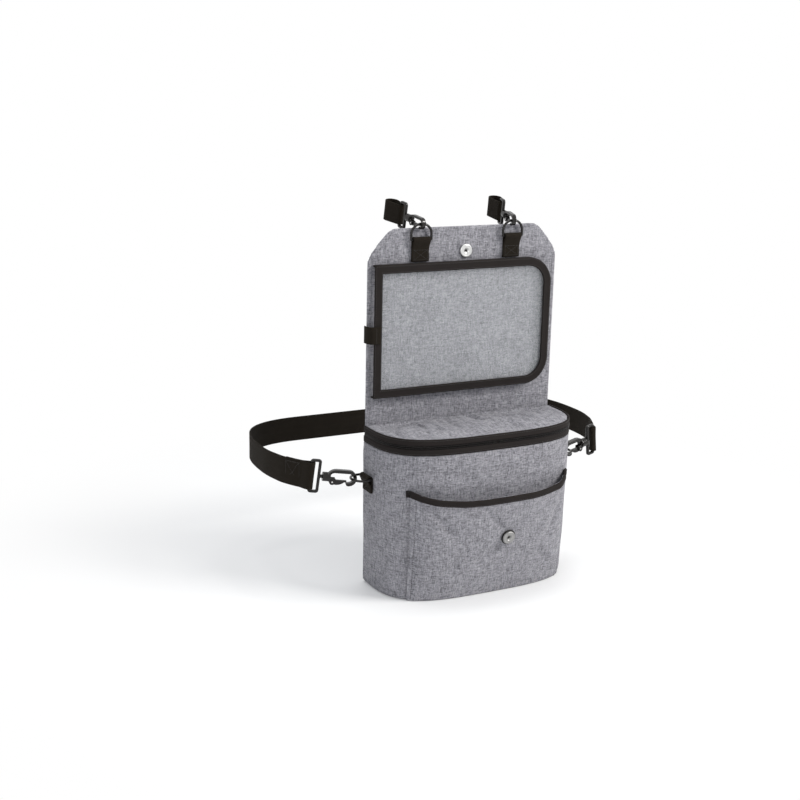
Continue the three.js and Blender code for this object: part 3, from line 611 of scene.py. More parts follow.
# %% [markdown]
# Stitches are real pieces of thread that stand a little out of the cloth. Each is a short bead
# along the seam's path with pointed ends, and a whole seam is one mesh.

# %% Helper for seams


def walk(points, step):
    """Points and directions every step along a path."""
    places = []
    carried = 0.0
    for a, b in zip(points, points[1:]):
        span = b - a
        length = span.length
        while carried < length:
            places.append((a + span * (carried / length), span.normalized()))
            carried += step
        carried -= length
    return places


def add_bead_faces(faces, base):
    """The faces of one closed bead whose four rings of six points start at base."""
    for ring in range(3):
        for k in range(6):
            a, b = base + ring * 6 + k, base + ring * 6 + (k + 1) % 6
            faces.append((a, b, b + 6, a + 6))
    faces.append(tuple(base + k for k in range(5, -1, -1)))
    faces.append(tuple(base + 18 + k for k in range(6)))


def facing(x, y, z):
    """A direction outwards that is the same all along a seam."""
    direction = Vector((x, y, z)).normalized()
    return lambda point: direction


def seam(name, points, outward, material, body, slot, step=3.2, length=2.3, radius=0.28):
    """Stitches along points, in metres. outward(point) is the cloth's own outward direction."""
    verts, faces, places = [], [], []
    rings = ((-0.5, 0.35), (-0.3, 1.0), (0.3, 1.0), (0.5, 0.35))
    for centre, along in walk(points, step * MM):
        out = outward(centre)
        side = along.cross(out).normalized()
        out = side.cross(along).normalized()
        add_bead_faces(faces, len(verts))
        for share, size in rings:
            for k in range(6):
                angle = k * math.pi / 3
                offset = side * math.cos(angle) * radius + out * math.sin(angle) * radius * 0.8
                verts.append(centre + along * share * length * MM + offset * size * MM)
                places.append((k * radius * MM, share * length * MM))
    return add_object(name, threaded_mesh(name, verts, faces, places), material, body, slot)


print("seam helper ready")

# %% [markdown]
# Webbing keeps its width and thickness wherever it goes, so it is swept along a path: at each
# point a rounded flat section is set across the band. The path may close on itself. The woven
# edges are slightly thicker than the middle, as on real webbing.

# %% Helper for webbing and tapes


def band_section(width, thickness):
    """Points round the band, across and through it: a round edge, one face, and the same again."""
    edge = thickness / 2
    flat = width / 2 - edge * 0.9
    outline = []
    for side in (1, -1):
        for k in range(5):
            angle = side * (math.pi / 2 - k * math.pi / 4)
            outline.append((side * (flat + edge * 0.9 * math.cos(angle)), edge * math.sin(angle)))
        for share in (0.7, 0.3, 0.0, -0.3, -0.7):
            outline.append((side * flat * share, -side * edge * (0.9 + 0.1 * abs(share))))
    return outline


def band(name, points, across, width, thickness, closed=False, taper=None):
    """points in metres along the band's middle; across(i) is the unit direction of its width."""
    outline = band_section(width * MM, thickness * MM)
    count, size = len(points), len(outline)
    verts, places, faces = [], [], []
    travelled = 0.0
    for i, point in enumerate(points):
        before = points[i - 1] if (closed or i) else points[i]
        after = points[(i + 1) % count] if (closed or i < count - 1) else points[i]
        along = (after - before).normalized()
        wide = across(i)
        wide = (wide - along * wide.dot(along)).normalized()
        flat = wide.cross(along)
        scale = taper(i) if taper else 1.0
        if i:
            travelled += (point - points[i - 1]).length
        for x, y in outline:
            verts.append(point + wide * x * scale + flat * y)
            places.append((x, travelled))
    loops = count if closed else count - 1
    for i in range(loops):
        a, b = i * size, ((i + 1) % count) * size
        for k in range(size):
            m = (k + 1) % size
            faces.append((a + k, a + m, b + m, b + k))
    if not closed:
        faces.append(tuple(range(size - 1, -1, -1)))
        faces.append(tuple((count - 1) * size + k for k in range(size)))
    return threaded_mesh(name, verts, faces, places)


def smooth_path(points, step=0.0012):
    """A rounded open path through the points, divided about every step metres."""
    path = []
    for i, (p1, p2) in enumerate(zip(points, points[1:])):
        p0 = points[i - 1] if i else p1 + (p1 - p2)
        p3 = points[i + 2] if i < len(points) - 2 else p2 + (p2 - p1)
        pieces = max(1, round((p2 - p1).length / step))
        for k in range(pieces):
            t = k / pieces
            bend = (2 * p0 - 5 * p1 + 4 * p2 - p3) * t * t + (3 * p1 - p0 - 3 * p2 + p3) * t ** 3
            path.append(0.5 * (2 * p1 + (p2 - p0) * t + bend))
    path.append(points[-1])
    return path


print("band section points", len(band_section(26, 1.6)))

# %% [markdown]
# The back panel is two layers of cloth with thin padding, sewn round the edge and turned. Its
# outline is a rounded polygon with cut top corners. The evenly divided solid gives the padding
# its soft edge; then the surface is moved a little, as padded cloth moves: a sewn channel follows
# the edge, and a fold crosses the panel where it bends above the box.

# %% Helpers: even, softened copy of a solid; rounded outline


def even_copy(name, node, voxel, rounds):
    """A copy of a solid's mesh with even faces, its edges rounded by smoothing."""
    work = bpy.data.objects.new(name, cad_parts[node].data.copy())
    bpy.context.collection.objects.link(work)
    skin = work.modifiers.new("even faces", "REMESH")
    skin.mode = "VOXEL"
    skin.voxel_size = voxel * MM
    soften = work.modifiers.new("soften", "SMOOTH")
    soften.factor = 0.5
    soften.iterations = rounds
    graph = bpy.context.evaluated_depsgraph_get()
    mesh = bpy.data.meshes.new_from_object(work.evaluated_get(graph))
    bpy.data.objects.remove(work)
    mesh.name = name
    mesh.materials.clear()
    shade_smooth(mesh)
    return mesh


def reshape(mesh, move, threads):
    """Moves each vertex, given in millimetres, and keeps the flat place of its yarns."""
    places = []
    for vertex in mesh.vertices:
        place = in_mm(vertex.co)
        places.append([value * MM for value in threads(place)])
        vertex.co = spot(*move(place))
    mesh.update()
    keep_threads(mesh, places)
    return mesh


def rounded_outline(corners, steps=6):
    points = []
    count = len(corners)
    for i, (x, z, radius) in enumerate(corners):
        corner = Vector((x, z))
        before = Vector(corners[i - 1][:2])
        after = Vector(corners[(i + 1) % count][:2])
        start = corner + (before - corner).normalized() * radius
        end = corner + (after - corner).normalized() * radius
        for k in range(steps + 1):
            t = k / steps
            points.append(start * (1 - t) ** 2 + corner * 2 * t * (1 - t) + end * t * t)
    return points


def inset_corners(corners, margin):
    """The same corners drawn inwards by a margin, for a line of stitches along an edge."""
    moved = []
    count = len(corners)
    for i, (x, z, radius) in enumerate(corners):
        corner = Vector((x, z))
        back = (corner - Vector(corners[i - 1][:2])).normalized()
        ahead = (Vector(corners[(i + 1) % count][:2]) - corner).normalized()
        inward = Vector((-back.y, back.x)) + Vector((-ahead.y, ahead.x))
        inward = inward / (1 + back.dot(ahead)) * margin
        moved.append((corner.x + inward.x, corner.y + inward.y, radius))
    return moved


def distance_inside(outline):
    """For a closed outline, a function that gives the distance of a place from its line."""
    starts = np.array([(p.x, p.y) for p in outline])
    spans = np.roll(starts, -1, axis=0) - starts
    lengths = (spans ** 2).sum(1)
    lengths[lengths == 0] = 1

    def distance(x, z):
        rel = np.array((x, z)) - starts
        t = np.clip((rel * spans).sum(1) / lengths, 0, 1)
        return float(np.sqrt((((rel - spans * t[:, None])) ** 2).sum(1)).min())

    return distance


print("outline helpers ready")

# %% Back panel
PANEL_HALF, PANEL_HIGH, PANEL_THICK = 150, 502, 4.0
TOP_HALF, SHOULDER = 116, 462
EDGE_SEAM = 6.5
panel_corners = [(-PANEL_HALF, 0, 8), (PANEL_HALF, 0, 8), (PANEL_HALF, SHOULDER, 14),
                 (TOP_HALF, PANEL_HIGH, 14), (-TOP_HALF, PANEL_HIGH, 14), (-PANEL_HALF, SHOULDER, 14)]
PANEL_FOLDS = [(0.9, -150, 255, 150, 258, 2.4), (0.4, 2, 505, 0, 470, 3.0)]
LID_HINGE_Z, WINDOW_FOOT, WINDOW_TOP = 230, 270.0, 454.0
from_panel_edge = distance_inside(rounded_outline(panel_corners))


def panel_freedom(x, z):
    """1 where nothing is sewn on the front of the panel, 0 beside what is."""
    above = soft_step(z, WINDOW_TOP + 4, WINDOW_TOP + 12)
    between = soft_step(z, LID_HINGE_Z, LID_HINGE_Z + 10)
    between *= 1 - soft_step(z, WINDOW_FOOT - 10, WINDOW_FOOT - 2)
    tabs = max(groove(abs(x) - TOP_TAB_X, 20), groove(x, 16) * groove(z - TOP_SNAP_Z, 16))
    return max(above * (1 - tabs), between)


def move_panel(place):
    x, y, z = place
    front = soft_step(-y, 1.2, 3.0)
    free = panel_freedom(x, z) if front > 0 else 1.0
    wave = 0.8 * crumple(x, z, 60, 3.0) + 0.35 * crumple(x, z, 22, 9.0)
    inwards = 1 if y > -PANEL_THICK / 2 else -1
    channel = 0.45 * groove(from_panel_edge(x, z) - EDGE_SEAM, 1.6)
    shift = wave * free * 0.5 - inwards * (channel + folds(x, z, PANEL_FOLDS) * free)
    return x, y + shift * (0.3 if inwards > 0 else 1.0), z


panel_mesh = even_copy("panel_cloth", "back_panel", 2.6, 3)
reshape(panel_mesh, move_panel, lambda p: (p.x, p.z))
panel_cloth = add_object("panel_cloth", panel_mesh, *CLOTH, ["back_panel"])
print("panel faces", len(panel_mesh.polygons))

# %% Panel's edge stitches
edge_line = rounded_outline(inset_corners(panel_corners, EDGE_SEAM))
edge_line.append(edge_line[0])
for name, y, out in (("edge", -PANEL_THICK + 0.25, -1), ("rear", -0.25, 1)):
    seam(f"panel_{name}_stitches", [spot(p.x, y, p.y) for p in edge_line], facing(0, out, 0),
         grey_thread, "organizer", "grey_fabric")
print("edge stitches along", len(edge_line), "points")

# %% [markdown]
# The storage box is a D in plan: a curve between a circle and a rectangle. Its wall is one strip
# of padded cloth sewn to a D-shaped base. Cloth that stands like this sags slightly between its
# seams and folds near the lower corners.

# %% Plan of the box
BOX_HALF, BOX_DEPTH, SQUARENESS = 152.0, 107.0, 3.4
BOX_BACK = -4.3
WALL_HIGH, WALL_THICK, FOOT_TAPER = 209.0, 4.0, 4.0
SEAM_GAP = 0.3


def plan_point(u, inset):
    angle = math.pi * (1 - u)
    power = 2 / SQUARENESS
    cosine = math.cos(angle)
    x = (BOX_HALF - inset) * math.copysign(abs(cosine) ** power, cosine)
    return x, BOX_BACK - (BOX_DEPTH - inset) * max(math.sin(angle), 0) ** power


def arc_lengths(steps=600):
    """How far round the box each of many even shares of the plan lies."""
    points = [Vector(plan_point(i / steps, 0)) for i in range(steps + 1)]
    lengths = [0.0]
    for a, b in zip(points, points[1:]):
        lengths.append(lengths[-1] + (b - a).length)
    return np.array(lengths)


plan_lengths = arc_lengths()
plan_total = float(plan_lengths[-1])


def arc_at(u):
    return float(np.interp(u, np.linspace(0, 1, len(plan_lengths)), plan_lengths))


def u_at(arc):
    return float(np.interp(arc, plan_lengths, np.linspace(0, 1, len(plan_lengths))))


def even_u(u):
    """Shares of the way round that are evenly spaced along the cloth."""
    return u_at(u * plan_total)


print("cloth round the box", round(plan_total, 1), "mm")

# %% Box wall
WALL_COLUMNS, WALL_ROWS = 300, 90
POCKET_HALF, SIDE_TAB_IN, SIDE_TAB_FOOT = 123.0, 19.0, 143.0
WALL_FOLDS = [(2.3, 34, 2, 66, 62, 6.0), (1.5, 12, 128, 52, 96, 5.0),
              (2.0, plan_total - 30, 2, plan_total - 68, 74, 6.0),
              (1.3, plan_total - 12, 126, plan_total - 50, 104, 5.0),
              (1.2, plan_total / 2 - 92, 184, plan_total / 2 - 30, 172, 5.0),
              (1.1, plan_total / 2 + 100, 190, plan_total / 2 + 52, 170, 5.0)]


def foot_taper(z):
    share = max(0.0, 1 - z / WALL_HIGH)
    return FOOT_TAPER * share * share


def wall_sag(x, z, arc):
    """How far the wall leaves its plain plan, outwards positive."""
    beside_pocket = abs(x) - POCKET_HALF
    under_pocket = (1 - soft_step(beside_pocket, -1, 11)) * (1 - soft_step(z, 152, 172))
    seams = soft_step(z, 0, 16) * (1 - soft_step(z, WALL_HIGH - 15, WALL_HIGH - 1))
    from_back = min(arc, plan_total - arc)
    tab = groove(from_back - SIDE_TAB_IN, 19) * groove(z - (SIDE_TAB_FOOT + 11), 22)
    wave = 1.7 * crumple(arc, z * 0.6, 46, 5.0) + 0.6 * crumple(arc * 1.5, z * 0.7, 20, 7.0)
    free = seams * (1 - 0.95 * under_pocket) * (1 - 0.92 * tab)
    beside = 1.5 * groove(beside_pocket - 2, 2.4) * (1 - soft_step(z, 152, 164)) * soft_step(z, 0, 8)
    return (wave - folds(arc, z, WALL_FOLDS)) * free - beside


def wall_face(inset, sag_share):
    """The outer face takes the whole sag, its turned edges and its hems; the lining follows it."""
    outer = sag_share == 1

    def face(u, v):
        z = WALL_HIGH * v
        way = even_u(u)
        arc = arc_at(way)
        x = plan_point(way, 0)[0]
        turn = 2.2 * max(0.0, 1 - z / 4.0) ** 2 + 0.8 * max(0.0, 1 - (WALL_HIGH - z) / 2.5) ** 2
        hem = 0.35 * groove(z - 5.5, 1.4) + 0.35 * groove(z - WALL_HIGH + 4, 1.3)
        into = inset + foot_taper(z) - wall_sag(x, z, arc) * sag_share
        if outer:
            into += turn + hem
        into = max(into, -1.3 if outer else inset - 1.0)
        px, py = plan_point(way, into)
        return spot(px, min(py, BOX_BACK), z)
    return face


wall_mesh = shell("box_wall_cloth", wall_face(0.0, 1.0), wall_face(WALL_THICK, 0.8),
                  WALL_COLUMNS, WALL_ROWS, lambda u, v: (plan_total * u * MM, WALL_HIGH * v * MM))
wall_mesh.materials.append(grey_cloth)
wall_mesh.materials.append(lining_cloth)
for polygon in wall_mesh.polygons:
    # shell() lays an outer and an inner face in turn, and the rim's strip after all of them
    lined = polygon.index < WALL_COLUMNS * WALL_ROWS * 2 and polygon.index % 2
    polygon.material_index = 1 if lined else 0
wall_cloth = add_object("box_wall_cloth", wall_mesh, *CLOTH, ["box_wall"])
print("wall faces", len(wall_mesh.polygons))

# %% Box base


def move_base(place):
    lower = 1 if place.z < 2.5 else 0.6
    return place.x, place.y, place.z + 0.5 * crumple(place.x, place.y, 40, 2.0) * lower


base_mesh = even_copy("box_base_cloth", "box_base", 2.4, 4)
reshape(base_mesh, move_base, lambda p: (p.x, p.y))
base_cloth = add_object("box_base_cloth", base_mesh, *CLOTH, ["box_base"])
print("base faces", len(base_mesh.polygons))

# %% [markdown]
# Padding pushes its cover outwards while seams hold it, and a cover cut slightly too large
# gathers beside them. Listed folds can't give those small gathers, so a short cloth
# simulation does: the seam's points are held, the cover grows by a few percent and air pressure
# fills it. No point may move further than a cap, and the result is kept as plain points.

# %% Helper: cover swollen by its padding


def swell(mesh, held, growth, pressure, cap, frames=20):
    """held(place) is 1 where a seam holds the cover; cap(place) is the furthest move in millimetres."""
    rest = [vertex.co.copy() for vertex in mesh.vertices]
    cover = bpy.data.objects.new(mesh.name + "_swelling", mesh.copy())
    bpy.context.collection.objects.link(cover)
    pins = cover.vertex_groups.new(name="held")
    for i, place in enumerate(rest):
        weight = held(in_mm(place))
        if weight > 0:
            pins.add([i], weight, "REPLACE")
    cloth = cover.modifiers.new("cloth", "CLOTH")
    cloth.settings.vertex_group_mass = "held"
    cloth.settings.shrink_min = -growth
    cloth.settings.use_pressure = True
    cloth.settings.uniform_pressure_force = pressure
    cloth.settings.effector_weights.gravity = 0
    cloth.settings.bending_stiffness = 0.6
    cloth.settings.quality = 6
    cloth.collision_settings.use_collision = False
    for number in range(1, frames + 1):
        bpy.context.scene.frame_set(number)
    settled = cover.evaluated_get(bpy.context.evaluated_depsgraph_get()).to_mesh()
    furthest = 0.0
    for vertex, place, moved in zip(mesh.vertices, rest, settled.vertices):
        move = moved.co - place
        limit = cap(in_mm(place), move) * MM
        if move.length > limit:
            move *= limit / move.length
        furthest = max(furthest, move.length)
        vertex.co = place + move
    bpy.data.objects.remove(cover)
    bpy.context.scene.frame_set(1)
    mesh.update()
    return furthest / MM


print("swelling helper ready")

# %% [markdown]
# The lid is a padded D that domes a little and creases across its middle where it folds at the
# hinge seam. It is divided evenly, swollen, and moved like the panel: no movement at its sewn
# rim, soft dents and a few valleys in between.

# %% Lid
LID_TOP = 231.6
HINGE_Y, HINGE_RIM = BOX_BACK, 2.3
LID_FOLDS = [(5.0, 4, -2, 16, 50, 6.5), (2.6, 64, 12, 40, 84, 6.0), (2.8, -92, 8, -56, 74, 7.0),
             (1.4, 112, 20, 96, 78, 4.5)]


def rim_share(x, y):
    """0 at the lid's middle and 1 at its sewn rim."""
    across = abs(x / (BOX_HALF - HINGE_RIM)) ** SQUARENESS
    forward = abs((HINGE_Y - y) / (BOX_DEPTH - HINGE_RIM)) ** SQUARENESS
    return (across + forward) ** (1 / SQUARENESS)


def move_lid(place):
    x, y, z = place
    rim = rim_share(x, y)
    inner = (1 - soft_step(rim, 0.86, 0.99)) * soft_step(HINGE_Y - y, 1.0, 10.0)
    dents = 3.6 * crumple(x, y, 44, 1.5) + 1.1 * crumple(x, y * 1.5, 17, 4.5)
    rise = dents - folds(x, -y, LID_FOLDS) - 1.2
    if rise > 0:
        rise *= 0.15  # nearly flat, so that the open lid stays clear of the window's frame
    seam_dip = 0.7 * groove(rim - 0.955, 0.018) * soft_step(HINGE_Y - y, 3, 12)
    upper = soft_step(z, LID_TOP - 4, LID_TOP - 1)
    return x, y, z + rise * inner * (0.45 + 0.55 * upper) - seam_dip * upper


def lid_held(place):
    rim = rim_share(place.x, place.y)
    return 1.0 if rim > 0.955 or HINGE_Y - place.y < 3.0 else 0.0


def lid_cap(place, move):
    """The upper face may sink but hardly rise, so that the open lid stays clear of the window."""
    return 0.5 if move.z > 0 and place.z > LID_TOP - 6 else 3.0


lid_mesh = even_copy("lid_cloth", "box_lid", 2.2, 4)
swollen = swell(lid_mesh, lid_held, growth=0.035, pressure=3.0, cap=lid_cap)
print("lid swells by", round(swollen, 2), "mm")
reshape(lid_mesh, move_lid, lambda p: (p.x, p.y))
lid_cloth = add_object("lid_cloth", lid_mesh, grey_cloth, "lid", "grey_fabric", ["box_lid"])
print("lid faces", len(lid_mesh.polygons))

# %% [markdown]
# The zip has two woven tapes and two rows of nylon teeth between them. The teeth are one mesh of
# small beads a pitch apart, and each row has a thin cord behind it that the teeth are sewn to.

# %% Zip tapes
TAPE_HIGH, COIL_HIGH = 8.6, 2.1
lower_tape = WALL_HIGH + SEAM_GAP
lower_coil = lower_tape + TAPE_HIGH + SEAM_GAP
upper_coil = lower_coil + COIL_HIGH + SEAM_GAP
upper_tape = upper_coil + COIL_HIGH + SEAM_GAP


def round_the_box(low, high, inset, swell=0.0):
    def face(u, v):
        way = even_u(u)
        px, py = plan_point(way, inset - swell * math.sin(math.pi * v))
        return spot(px, min(py, BOX_BACK), low + (high - low) * v)
    return face


def zip_band(name, low, high, inset, thick, body, replaces=()):
    mesh = shell(name, round_the_box(low, high, inset, 0.25), round_the_box(low, high, inset + thick),
                 150, 6, lambda u, v: ((high - low) * v * MM, plan_total * u * MM))
    add_object(name, mesh, tape_black, body, "binding", replaces)


zip_band("zip_lower_tape", lower_tape, lower_tape + TAPE_HIGH, 0.1, 1.8, "organizer",
         ["zip_tape_lower"])
zip_band("zip_upper_tape", upper_tape, upper_tape + TAPE_HIGH, 0.1, 1.8, "lid",
         ["zip_tape_upper"])
zip_band("zip_lower_cord", lower_coil, lower_coil + COIL_HIGH, 1.3, 0.9, "organizer")
zip_band("zip_upper_cord", upper_coil, upper_coil + COIL_HIGH, 1.3, 0.9, "lid")


def tape_seam(name, z, body):
    points = [spot(*plan_point(even_u(0.012 + 0.976 * i / 220), -0.1), z) for i in range(221)]
    middle = spot(0, BOX_BACK, z)
    seam(name, points, lambda p: (p - middle).normalized(), black_thread, body, "binding")


tape_seam("lower_tape_stitches", lower_tape + 1.9, "organizer")
tape_seam("upper_tape_stitches", upper_tape + TAPE_HIGH - 1.9, "lid")
print("zip from", lower_tape, "to", upper_tape + TAPE_HIGH)

# %% Zip teeth


def zip_teeth(name, foot, start, body, node):
    """A row of teeth, each a bead with four rings of six points that runs into the box."""
    pitch, wide, deep, from_back = 1.7, 0.62, 1.55, 3
    verts, places, faces = [], [], []
    count = int((plan_total - 2 * from_back) / pitch)
    middle_z = foot + COIL_HIGH / 2
    for i in range(count):
        arc = from_back + start + i * pitch
        a, b = Vector(plan_point(u_at(arc - 0.3), 0.9)), Vector(plan_point(u_at(arc + 0.3), 0.9))
        along = (b - a).normalized()
        out = Vector((along.y, -along.x))
        centre = (a + b) / 2
        add_bead_faces(faces, len(verts))
        for share, size in ((-1.0, 0.55), (-0.55, 1.0), (0.55, 1.0), (1.0, 0.55)):
            for k in range(6):
                angle = k * math.pi / 3
                flat = centre + out * share * deep + along * math.cos(angle) * wide * size
                z = middle_z + math.sin(angle) * COIL_HIGH / 2 * size
                verts.append(spot(flat.x, min(flat.y, BOX_BACK), z))
                places.append((share * deep * MM, arc * MM))
    add_object(name, threaded_mesh(name, verts, faces, places), zip_nylon, body, "zip_coil", [node])
    return count


lower_count = zip_teeth("zip_lower_teeth", lower_coil, 0.0, "organizer", "zip_coil_lower")
upper_count = zip_teeth("zip_upper_teeth", upper_coil, 0.85, "lid", "zip_coil_upper")
print("teeth", lower_count, upper_count)

# %% [markdown]
# The zip's slider and pull, the hooks and the belt's slide are hard moulded or cast pieces. Their
# solids have the right shape but sharp edges. A real moulding has rounded edges that catch the
# light, so each solid is divided evenly and smoothed a little, in place.

# %% Moulded and cast pieces


def moulded(name, node, voxel, rounds, material, body, slot):
    mesh = even_copy(name, node, voxel, rounds)
    add_object(name, mesh, material, body, slot, [node])
    return len(mesh.polygons)


moulded_faces = 0
for side in ("left", "right"):
    for kind, owner in (("strap_hook", "hanger"), ("belt_hook", "belt_hook")):
        eye_body = f"strap_eye_{side}" if kind == "strap_hook" else "organizer"
        gate_body = f"strap_gate_{side}" if kind == "strap_hook" else f"belt_gate_{side}"
        for part, end, voxel, rounds, body in (("body", "shell", 0.42, 5, f"{owner}_{side}"),
                                               ("eye", "swivel_eye", 0.42, 4, eye_body),
                                               ("gate", "lever", 0.3, 3, gate_body)):
            moulded_faces += moulded(f"{kind}_{side}_{end}", f"{kind}_{side}_{part}", voxel, rounds,
                                     gloss_black, body, "black_plastic")
moulded_faces += moulded("belt_slide", "belt_adjuster", 0.5, 3,
                         gloss_black, "adjuster", "black_plastic")
moulded_faces += moulded("zip_slider_casting", "zip_slider", 0.22, 3,
                         silver, "organizer", "silver_metal")
moulded_faces += moulded("zip_pull_casting", "zip_pull", 0.2, 3,
                         silver, "zip_pull", "silver_metal")
for side in ("left", "right"):
    for kind in ("strap_hook", "belt_hook"):
        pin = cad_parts[f"{kind}_{side}_gate_pin"]
        pin.data.materials.clear()
        pin.data.materials.append(silver)
print("moulded faces", moulded_faces)

# %% [markdown]
# A ring is one round wire bent to a D. It is swept as a tube along the line of its middle, with
# enough steps that the bow looks round.

# %% Rings
RING_WIRE = 3.5
TAB_WIDE, TAB_THICK = 26.5, 1.6
LOOP_INNER = math.hypot(1.8, 1.8) + 0.35 - 0.24
LOOP_OUTER = LOOP_INNER + TAB_THICK
RING_HALF, RING_HIGH, RING_STRAIGHT = 15.4, 21.7, 8.0
TOP_TAB_FOOT, TOP_TAB_LONG = 455.3, 30.0
SIDE_TAB_Y, SIDE_TAB_LONG = BOX_BACK - SIDE_TAB_IN, 20.0


def top_place(side):
    """From a ring's own place (across, out from the cloth, up) to the organizer, for the top rings."""
    return lambda a, out, up: spot(side * TOP_TAB_X + a, BOX_BACK - out, TOP_TAB_FOOT + up)


def side_place(side):
    return lambda a, out, up: spot(side * (BOX_HALF + 0.3 + out), SIDE_TAB_Y + a, SIDE_TAB_FOOT + up)


def wire_ring(name, points, body, node, radius=RING_WIRE / 2, sides=14):
    """A closed round wire along points in metres."""
    verts, faces, places = [], [], []
    count = len(points)
    normal = (points[1] - points[0]).orthogonal().normalized()
    for i, point in enumerate(points):
        along = (points[(i + 1) % count] - points[i - 1]).normalized()
        normal = (normal - along * normal.dot(along)).normalized()
        second = along.cross(normal)
        for k in range(sides):
            angle = 2 * math.pi * k / sides
            verts.append(point + (normal * math.cos(angle) + second * math.sin(angle)) * radius * MM)
            places.append((k * radius * MM, i * MM))
    for i in range(count):
        a, b = i * sides, ((i + 1) % count) * sides
        for k in range(sides):
            m = (k + 1) % sides
            faces.append((a + k, a + m, b + m, b + k))
    mesh = threaded_mesh(name, verts, faces, places)
    add_object(name, mesh, gloss_black, body, "black_plastic", [node])


def ring_line():
    """The ring's middle line as (across, up from its bar)."""
    line = [(-RING_HALF + 1.2 + 2 * (RING_HALF - 1.2) * k / 12, 0.0) for k in range(13)]
    line += [(RING_HALF - 0.35, 0.35), (RING_HALF, 1.2)]
    line += [(RING_HALF, 1.2 + (RING_STRAIGHT - 1.2) * k / 4) for k in range(1, 5)]
    rise = RING_HIGH - RING_STRAIGHT
    line += [(RING_HALF * math.cos(math.pi * k / 36), RING_STRAIGHT + rise * math.sin(math.pi * k / 36))
             for k in range(1, 36)]
    line += [(-RING_HALF, RING_STRAIGHT - (RING_STRAIGHT - 1.2) * k / 4) for k in range(5)]
    line += [(-RING_HALF + 0.35, 0.35)]
    return line


for label, side in (("left", -1), ("right", 1)):
    place = top_place(side)
    points = [place(a, LOOP_OUTER, TOP_TAB_LONG + up) for a, up in ring_line()]
    wire_ring(f"top_ring_{label}", points, f"hanger_{label}", f"d_ring_{label}")
    place = side_place(side)
    points = [place(a, LOOP_OUTER + up, SIDE_TAB_LONG) for a, up in ring_line()]
    wire_ring(f"box_ring_{label}", points, "organizer", f"side_ring_{label}")
print("ring points", len(ring_line()))

# %% [markdown]
# Each ring hangs in a folded tab of webbing: up the front, round the ring's bar and down the
# back, both layers stitched down in a box.

# %% Tabs for the rings


def tab_line(length):
    """The tab's middle as (out from the cloth, up): front layer, loop, back layer."""
    middle = LOOP_INNER + TAB_THICK / 2
    front, back = 1.5 * TAB_THICK, 0.5 * TAB_THICK
    line = [(front, 0.0), (front, length * 0.25), (front, length - 12.5)]
    line += [(LOOP_OUTER + middle * math.sin(a) * 0.98, length + middle * math.cos(a))
             for a in [math.radians(d) for d in (100, 75, 50, 25, 0, -25, -50, -75)]]
    line += [(back + 0.05, length - 4), (back, length - 12.5), (back, 0.0)]
    return line


FINE_STITCH = {"step": 2.6, "length": 2.0, "radius": 0.26}


def box_stitches(name, place, high):
    """A stitched rectangle with its two diagonals, on the outside of a tab."""
    half_wide, low, out = TAB_WIDE / 2 - 3, 2.5, 2 * TAB_THICK + 0.1
    c = [(-half_wide, low), (half_wide, low), (half_wide, high), (-half_wide, high)]
    outward = facing(*(place(0, out + 1, low) - place(0, out, low)))
    line = [place(a, out, up) for a, up in (c[0], c[1], c[2], c[3], c[0], c[2])]
    seam(name, line, outward, *WEBBING_THREAD, **FINE_STITCH)
    line = [place(a, out, up) for a, up in (c[1], c[3])]
    seam(name + "_cross", line, outward, *WEBBING_THREAD, **FINE_STITCH)


for label, side in (("left", -1), ("right", 1)):
    for kind, node, place, length, box_top in (("top", "top_tab", top_place(side), TOP_TAB_LONG, 14),
                                               ("box", "side_tab", side_place(side), SIDE_TAB_LONG, 9)):
        path = smooth_path([place(0, out, up) for out, up in tab_line(length)])
        wide = (place(1, 0, 0) - place(0, 0, 0)).normalized()
        mesh = band(f"{kind}_tab_{label}", path, lambda i: wide, TAB_WIDE, TAB_THICK)
        add_object(f"{kind}_tab_cloth_{label}", mesh, *WEBBING, [f"{node}_{label}"])
        box_stitches(f"{kind}_tab_stitches_{label}", place, length - box_top)
print("tabs made")

# %% [markdown]
# The window pocket is a sheet of clear film under a frame of binding tape. The tape's corners are
# cut and mitred on the open left side and run round in a curve on the right. Below the frame a
# narrow wall of the same tape joins it to the panel on three sides.

# %% Window frame
WINDOW_LEFT, WINDOW_RIGHT, WINDOW_CORNER = -143.0, 137.0, 38.0
FRAME_WIDE, FRAME_THICK, FRAME_BACK = 12.0, 3.0, -11.4


def window_line(margin, steps=14):
    """Right-hand corners are curves; left-hand ones are single points."""
    left, right = WINDOW_LEFT + margin, WINDOW_RIGHT - margin
    low, high, radius = WINDOW_FOOT + margin, WINDOW_TOP - margin, WINDOW_CORNER - margin
    bow, plain = right - radius, left + 15
    line = [(left, low)]
    line += [(plain + (bow - plain) * k / 10, low) for k in range(10)]
    quarter = [math.pi / 2 * k / steps for k in range(steps + 1)]
    line += [(bow + radius * math.sin(a), low + radius - radius * math.cos(a)) for a in quarter]
    line += [(bow + radius * math.cos(a), high - radius + radius * math.sin(a)) for a in quarter]
    line += [(bow - (bow - plain) * k / 10, high) for k in range(1, 11)]
    line += [(left, high)]
    line += [(left, high - 15 - (high - low - 30) * k / 8) for k in range(9)]
    return line


def in_plane_across(line, i):
    before, after = Vector(line[i - 1]), Vector(line[(i + 1) % len(line)])
    here = Vector(line[i])
    along = ((here - before).normalized() + (after - here).normalized()).normalized()
    return Vector((along.y, 0, -along.x))


def corner_stretch(line, i):
    before, here, after = Vector(line[i - 1]), Vector(line[i]), Vector(line[(i + 1) % len(line)])
    cosine = (here - before).normalized().dot((after - here).normalized())
    return 1 / math.sqrt(max(0.25, (1 + cosine) / 2))


